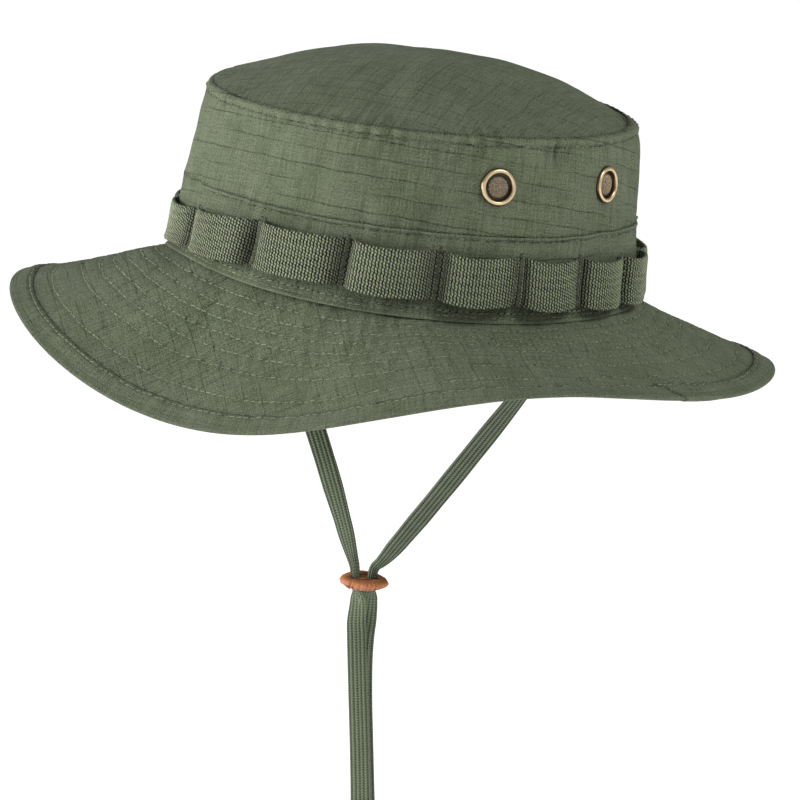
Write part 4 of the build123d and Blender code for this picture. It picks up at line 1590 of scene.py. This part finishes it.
def make_strap():
    keeper = make_keeper()
    # shade paints a whole strand darker or lighter: painted shadow on the left leg, painted light on the
    # tail.
    for name, route, facing, narrowing, shade, node in (
        ("strap_left_leg", LEFT_LEG, leg_facing(1.0, 20, 24), 27.0, -0.24, "chin_cord_left_leg"),
        ("strap_right_leg", RIGHT_LEG, leg_facing(-1.0, 12, -35), 22.0, -0.02, "chin_cord_right_leg"),
    ):
        piece, line, length = make_braid(
            name, route, facing, BRAID_WIDTH, BRAID_THROAT, narrowing, [node], shade=shade
        )
        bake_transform(piece)
        hang(line)
    throat = BRAID_THROAT + 0.6
    tail, line, length = make_braid(
        "strap_tail", TAIL, tail_facing, throat, throat, 6.0, ["chin_cord_tail"], gathered=1.5, shade=0.13
    )
    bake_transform(tail)
    hang(line)


KEEPER_LENGTH = 21.0
KEEPER_WIDTH = 13.0
KEEPER_THICKNESS = 4.6
KEEPER_TILT = -5
KEEPER_TIP = -14
# The slide's section, from its lower face round the edge to its upper face: share of its size, and height.
KEEPER_SECTION = (
    (0.42, -0.44), (0.72, -0.47), (0.86, -0.42), (0.95, -0.28), (1.0, -0.06), (0.99, 0.18), (0.93, 0.36),
    (0.80, 0.47), (0.42, 0.5),
)


def make_keeper():
    """The leather slide: a thick oval, tilted on the strap, with fibrous cut edges.

    Its two holes aren't cut here: the strap fills and hides them."""
    draw = np.random.default_rng(SEED + 70)
    columns = 144
    angles = np.arange(columns) * 2 * math.pi / columns
    tilt = math.radians(KEEPER_TILT)
    long_way = np.array(KEEPER_LONG) * math.cos(tilt) - np.array(STRAP_DOWN) * math.sin(tilt)
    down = unit(np.cross(np.cross(long_way, np.array(STRAP_DOWN)), long_way))
    tip = math.radians(KEEPER_TIP)
    short_way = unit(np.cross(down, long_way))
    down, short_way = (
        down * math.cos(tip) + short_way * math.sin(tip),
        short_way * math.cos(tip) - down * math.sin(tip),
    )
    fibres = 0.0
    for number in range(16):
        fibres = fibres + np.cos(draw.integers(6, 46) * angles + draw.uniform(0, 6.28)) * 0.07
    rows, tones = [], []
    half_long, half_short, thick = KEEPER_LENGTH / 2, KEEPER_WIDTH / 2, KEEPER_THICKNESS
    for number, (size, level) in enumerate(KEEPER_SECTION):
        raw = 1.0 if 1 < number < 7 else 0.25
        ragged = fibres * raw + draw.normal(0, 0.05, columns) * raw
        across = (half_long * size + ragged) * np.cos(angles)
        along = (half_short * size + ragged) * np.sin(angles)
        taper = 1 - 0.3 * np.abs(np.cos(angles)) ** 4
        level_mm = level * thick * taper + (0.2 * fibres + 0.15 * np.cos(3 * angles + number)) * raw
        point = across[:, None] * long_way + along[:, None] * short_way + level_mm[:, None] * down
        rows.append(np.array(KEEPER_AT) + point)
        streaked = 1.6 if number > 4 else 0.4
        tones.append(np.clip((0.5 if number > 4 else 0.1) + fibres * streaked, 0, 1))
    points = np.array(rows)
    count = len(rows) * columns
    faces = quads_of(tube_index(len(rows), columns), False).tolist()
    faces += fan(count, 0, columns) + fan(count + 1, count - columns, columns, flip=True)
    middles = np.stack([points[0].mean(0), points[-1].mean(0)])
    everything = np.concatenate([points.reshape(-1, 3), middles])
    tones = np.concatenate([np.array(tones).ravel(), [0.1, 0.1]])
    uv = np.zeros((sum(len(face) for face in faces), 2))
    piece = make_object("leather_keeper", everything, faces, MATERIALS["leather"], uv, tones)
    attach(piece, "chin_keeper")
    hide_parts("chin_keeper")
    return piece


# ---------------------------------------------------------------------------------- stage and lighting
FLOOR_SIZE = 90.0
FLOOR_DROP = 0.03
SURROUND_RADIUS = 12.0


def stage_piece(name, mesh, material):
    mesh.materials.append(material)
    piece = bpy.data.objects.new(name, mesh)
    bpy.context.scene.collection.objects.link(piece)
    return piece


def make_stage():
    """A plain pale floor below the strap, and a white surround."""
    level = CAD_LOW.z - FLOOR_DROP
    half = FLOOR_SIZE / 2
    corners = [(-half, -half, level), (half, -half, level), (half, half, level), (-half, half, level)]
    mesh = bpy.data.meshes.new("studio_floor")
    mesh.from_pydata(corners, [], [(0, 1, 2, 3)])
    stage_piece("studio_floor", mesh, Shader("pale_floor").finish((0.9, 0.9, 0.9, 1), 0.9, glow=0.72))
    make_surround()
    world = bpy.data.worlds.new("studio")
    world.use_nodes = True
    background = world.node_tree.nodes["Background"]
    background.inputs["Color"].default_value = WHITE
    background.inputs["Strength"].default_value = 0.36
    bpy.context.scene.world = world


def make_surround():
    """A white ball round everything, which is seen but casts no light or shadow."""
    ball = bmesh.new()
    bmesh.ops.create_uvsphere(ball, u_segments=48, v_segments=24, radius=SURROUND_RADIUS)
    mesh = bpy.data.meshes.new("studio_surround")
    ball.to_mesh(mesh)
    ball.free()
    white = Shader("white_surround").finish((0, 0, 0, 1), 0.5, specular=0.0, glow=1.0)
    surround = stage_piece("studio_surround", mesh, white)
    surround.visible_diffuse = False
    surround.visible_glossy = False
    surround.visible_transmission = False
    surround.visible_shadow = False


def area_light(name, place, target, size, power, colour):
    light = bpy.data.lights.new(name, "AREA")
    light.shape = "DISK"
    light.size = size
    light.energy = power
    light.color = colour
    lamp = bpy.data.objects.new(name, light)
    lamp.location = place
    lamp.rotation_mode = "QUATERNION"
    lamp.rotation_quaternion = (Vector(target) - Vector(place)).to_track_quat("-Z", "Y")
    bpy.context.scene.collection.objects.link(lamp)


KEY_COLOUR = (1.0, 0.99, 0.985)
FILL_COLOUR = (0.98, 1.0, 0.95)

# The camera looks from the front and the wearer's left, a little from above, tilted a little to one side.
AZIMUTH = 46.71
ELEVATION = 6.95
ROLL = 5.43
CAMERA_DISTANCE = 1.26075
LOOK_AT = Vector((0.0, 0.0, 0.030))
SENSOR = 36.0
FOCAL = 135.48
AIM_RIGHT = -0.002744
AIM_DOWN = -0.063716


def camera_axes():
    """The camera's backward, right and up directions before it is aimed."""
    azimuth, elevation, roll = (math.radians(value) for value in (AZIMUTH, ELEVATION, ROLL))
    back = Vector(
        (
            math.sin(azimuth) * math.cos(elevation),
            -math.cos(azimuth) * math.cos(elevation),
            math.sin(elevation),
        )
    )
    level = Vector((0, 0, 1)).cross(back).normalized()
    rising = back.cross(level)
    right = level * math.cos(roll) + rising * math.sin(roll)
    return back, right, back.cross(right)


def make_camera():
    back, right, up = camera_axes()
    data = bpy.data.cameras.new("camera")
    data.sensor_width = SENSOR
    data.lens = FOCAL
    camera = bpy.data.objects.new("camera", data)
    camera.location = LOOK_AT + back * CAMERA_DISTANCE
    aim = (-back + right * AIM_RIGHT + up * AIM_DOWN).normalized()
    sideways = aim.cross(up).normalized()
    upward = sideways.cross(aim)
    camera.rotation_mode = "QUATERNION"
    turn = (sideways, upward, -aim)
    matrix = [[axis[row] for axis in turn] for row in range(3)]
    camera.rotation_quaternion = Matrix(matrix).to_quaternion()
    bpy.context.scene.collection.objects.link(camera)
    bpy.context.scene.camera = camera
    return back, right


def make_lights(back, right):
    middle = Vector((0, 0, 0.02))
    key = middle + back * 0.30 - right * 1.48 + Vector((0, 0, 0.26))
    fill = middle + back * 0.70 + right * 0.95 + Vector((0, 0, 1.0))
    area_light("key_light", key, middle, 0.45, 18.0, KEY_COLOUR)
    area_light("fill_light", fill, middle, 0.7, 10.0, FILL_COLOUR)


make_crown()
make_inside()
make_brim()
make_webbing()
make_vents()
make_strap()
make_stitching()
make_stage()
make_lights(*make_camera())
bpy.context.scene.view_settings.view_transform = "Standard"
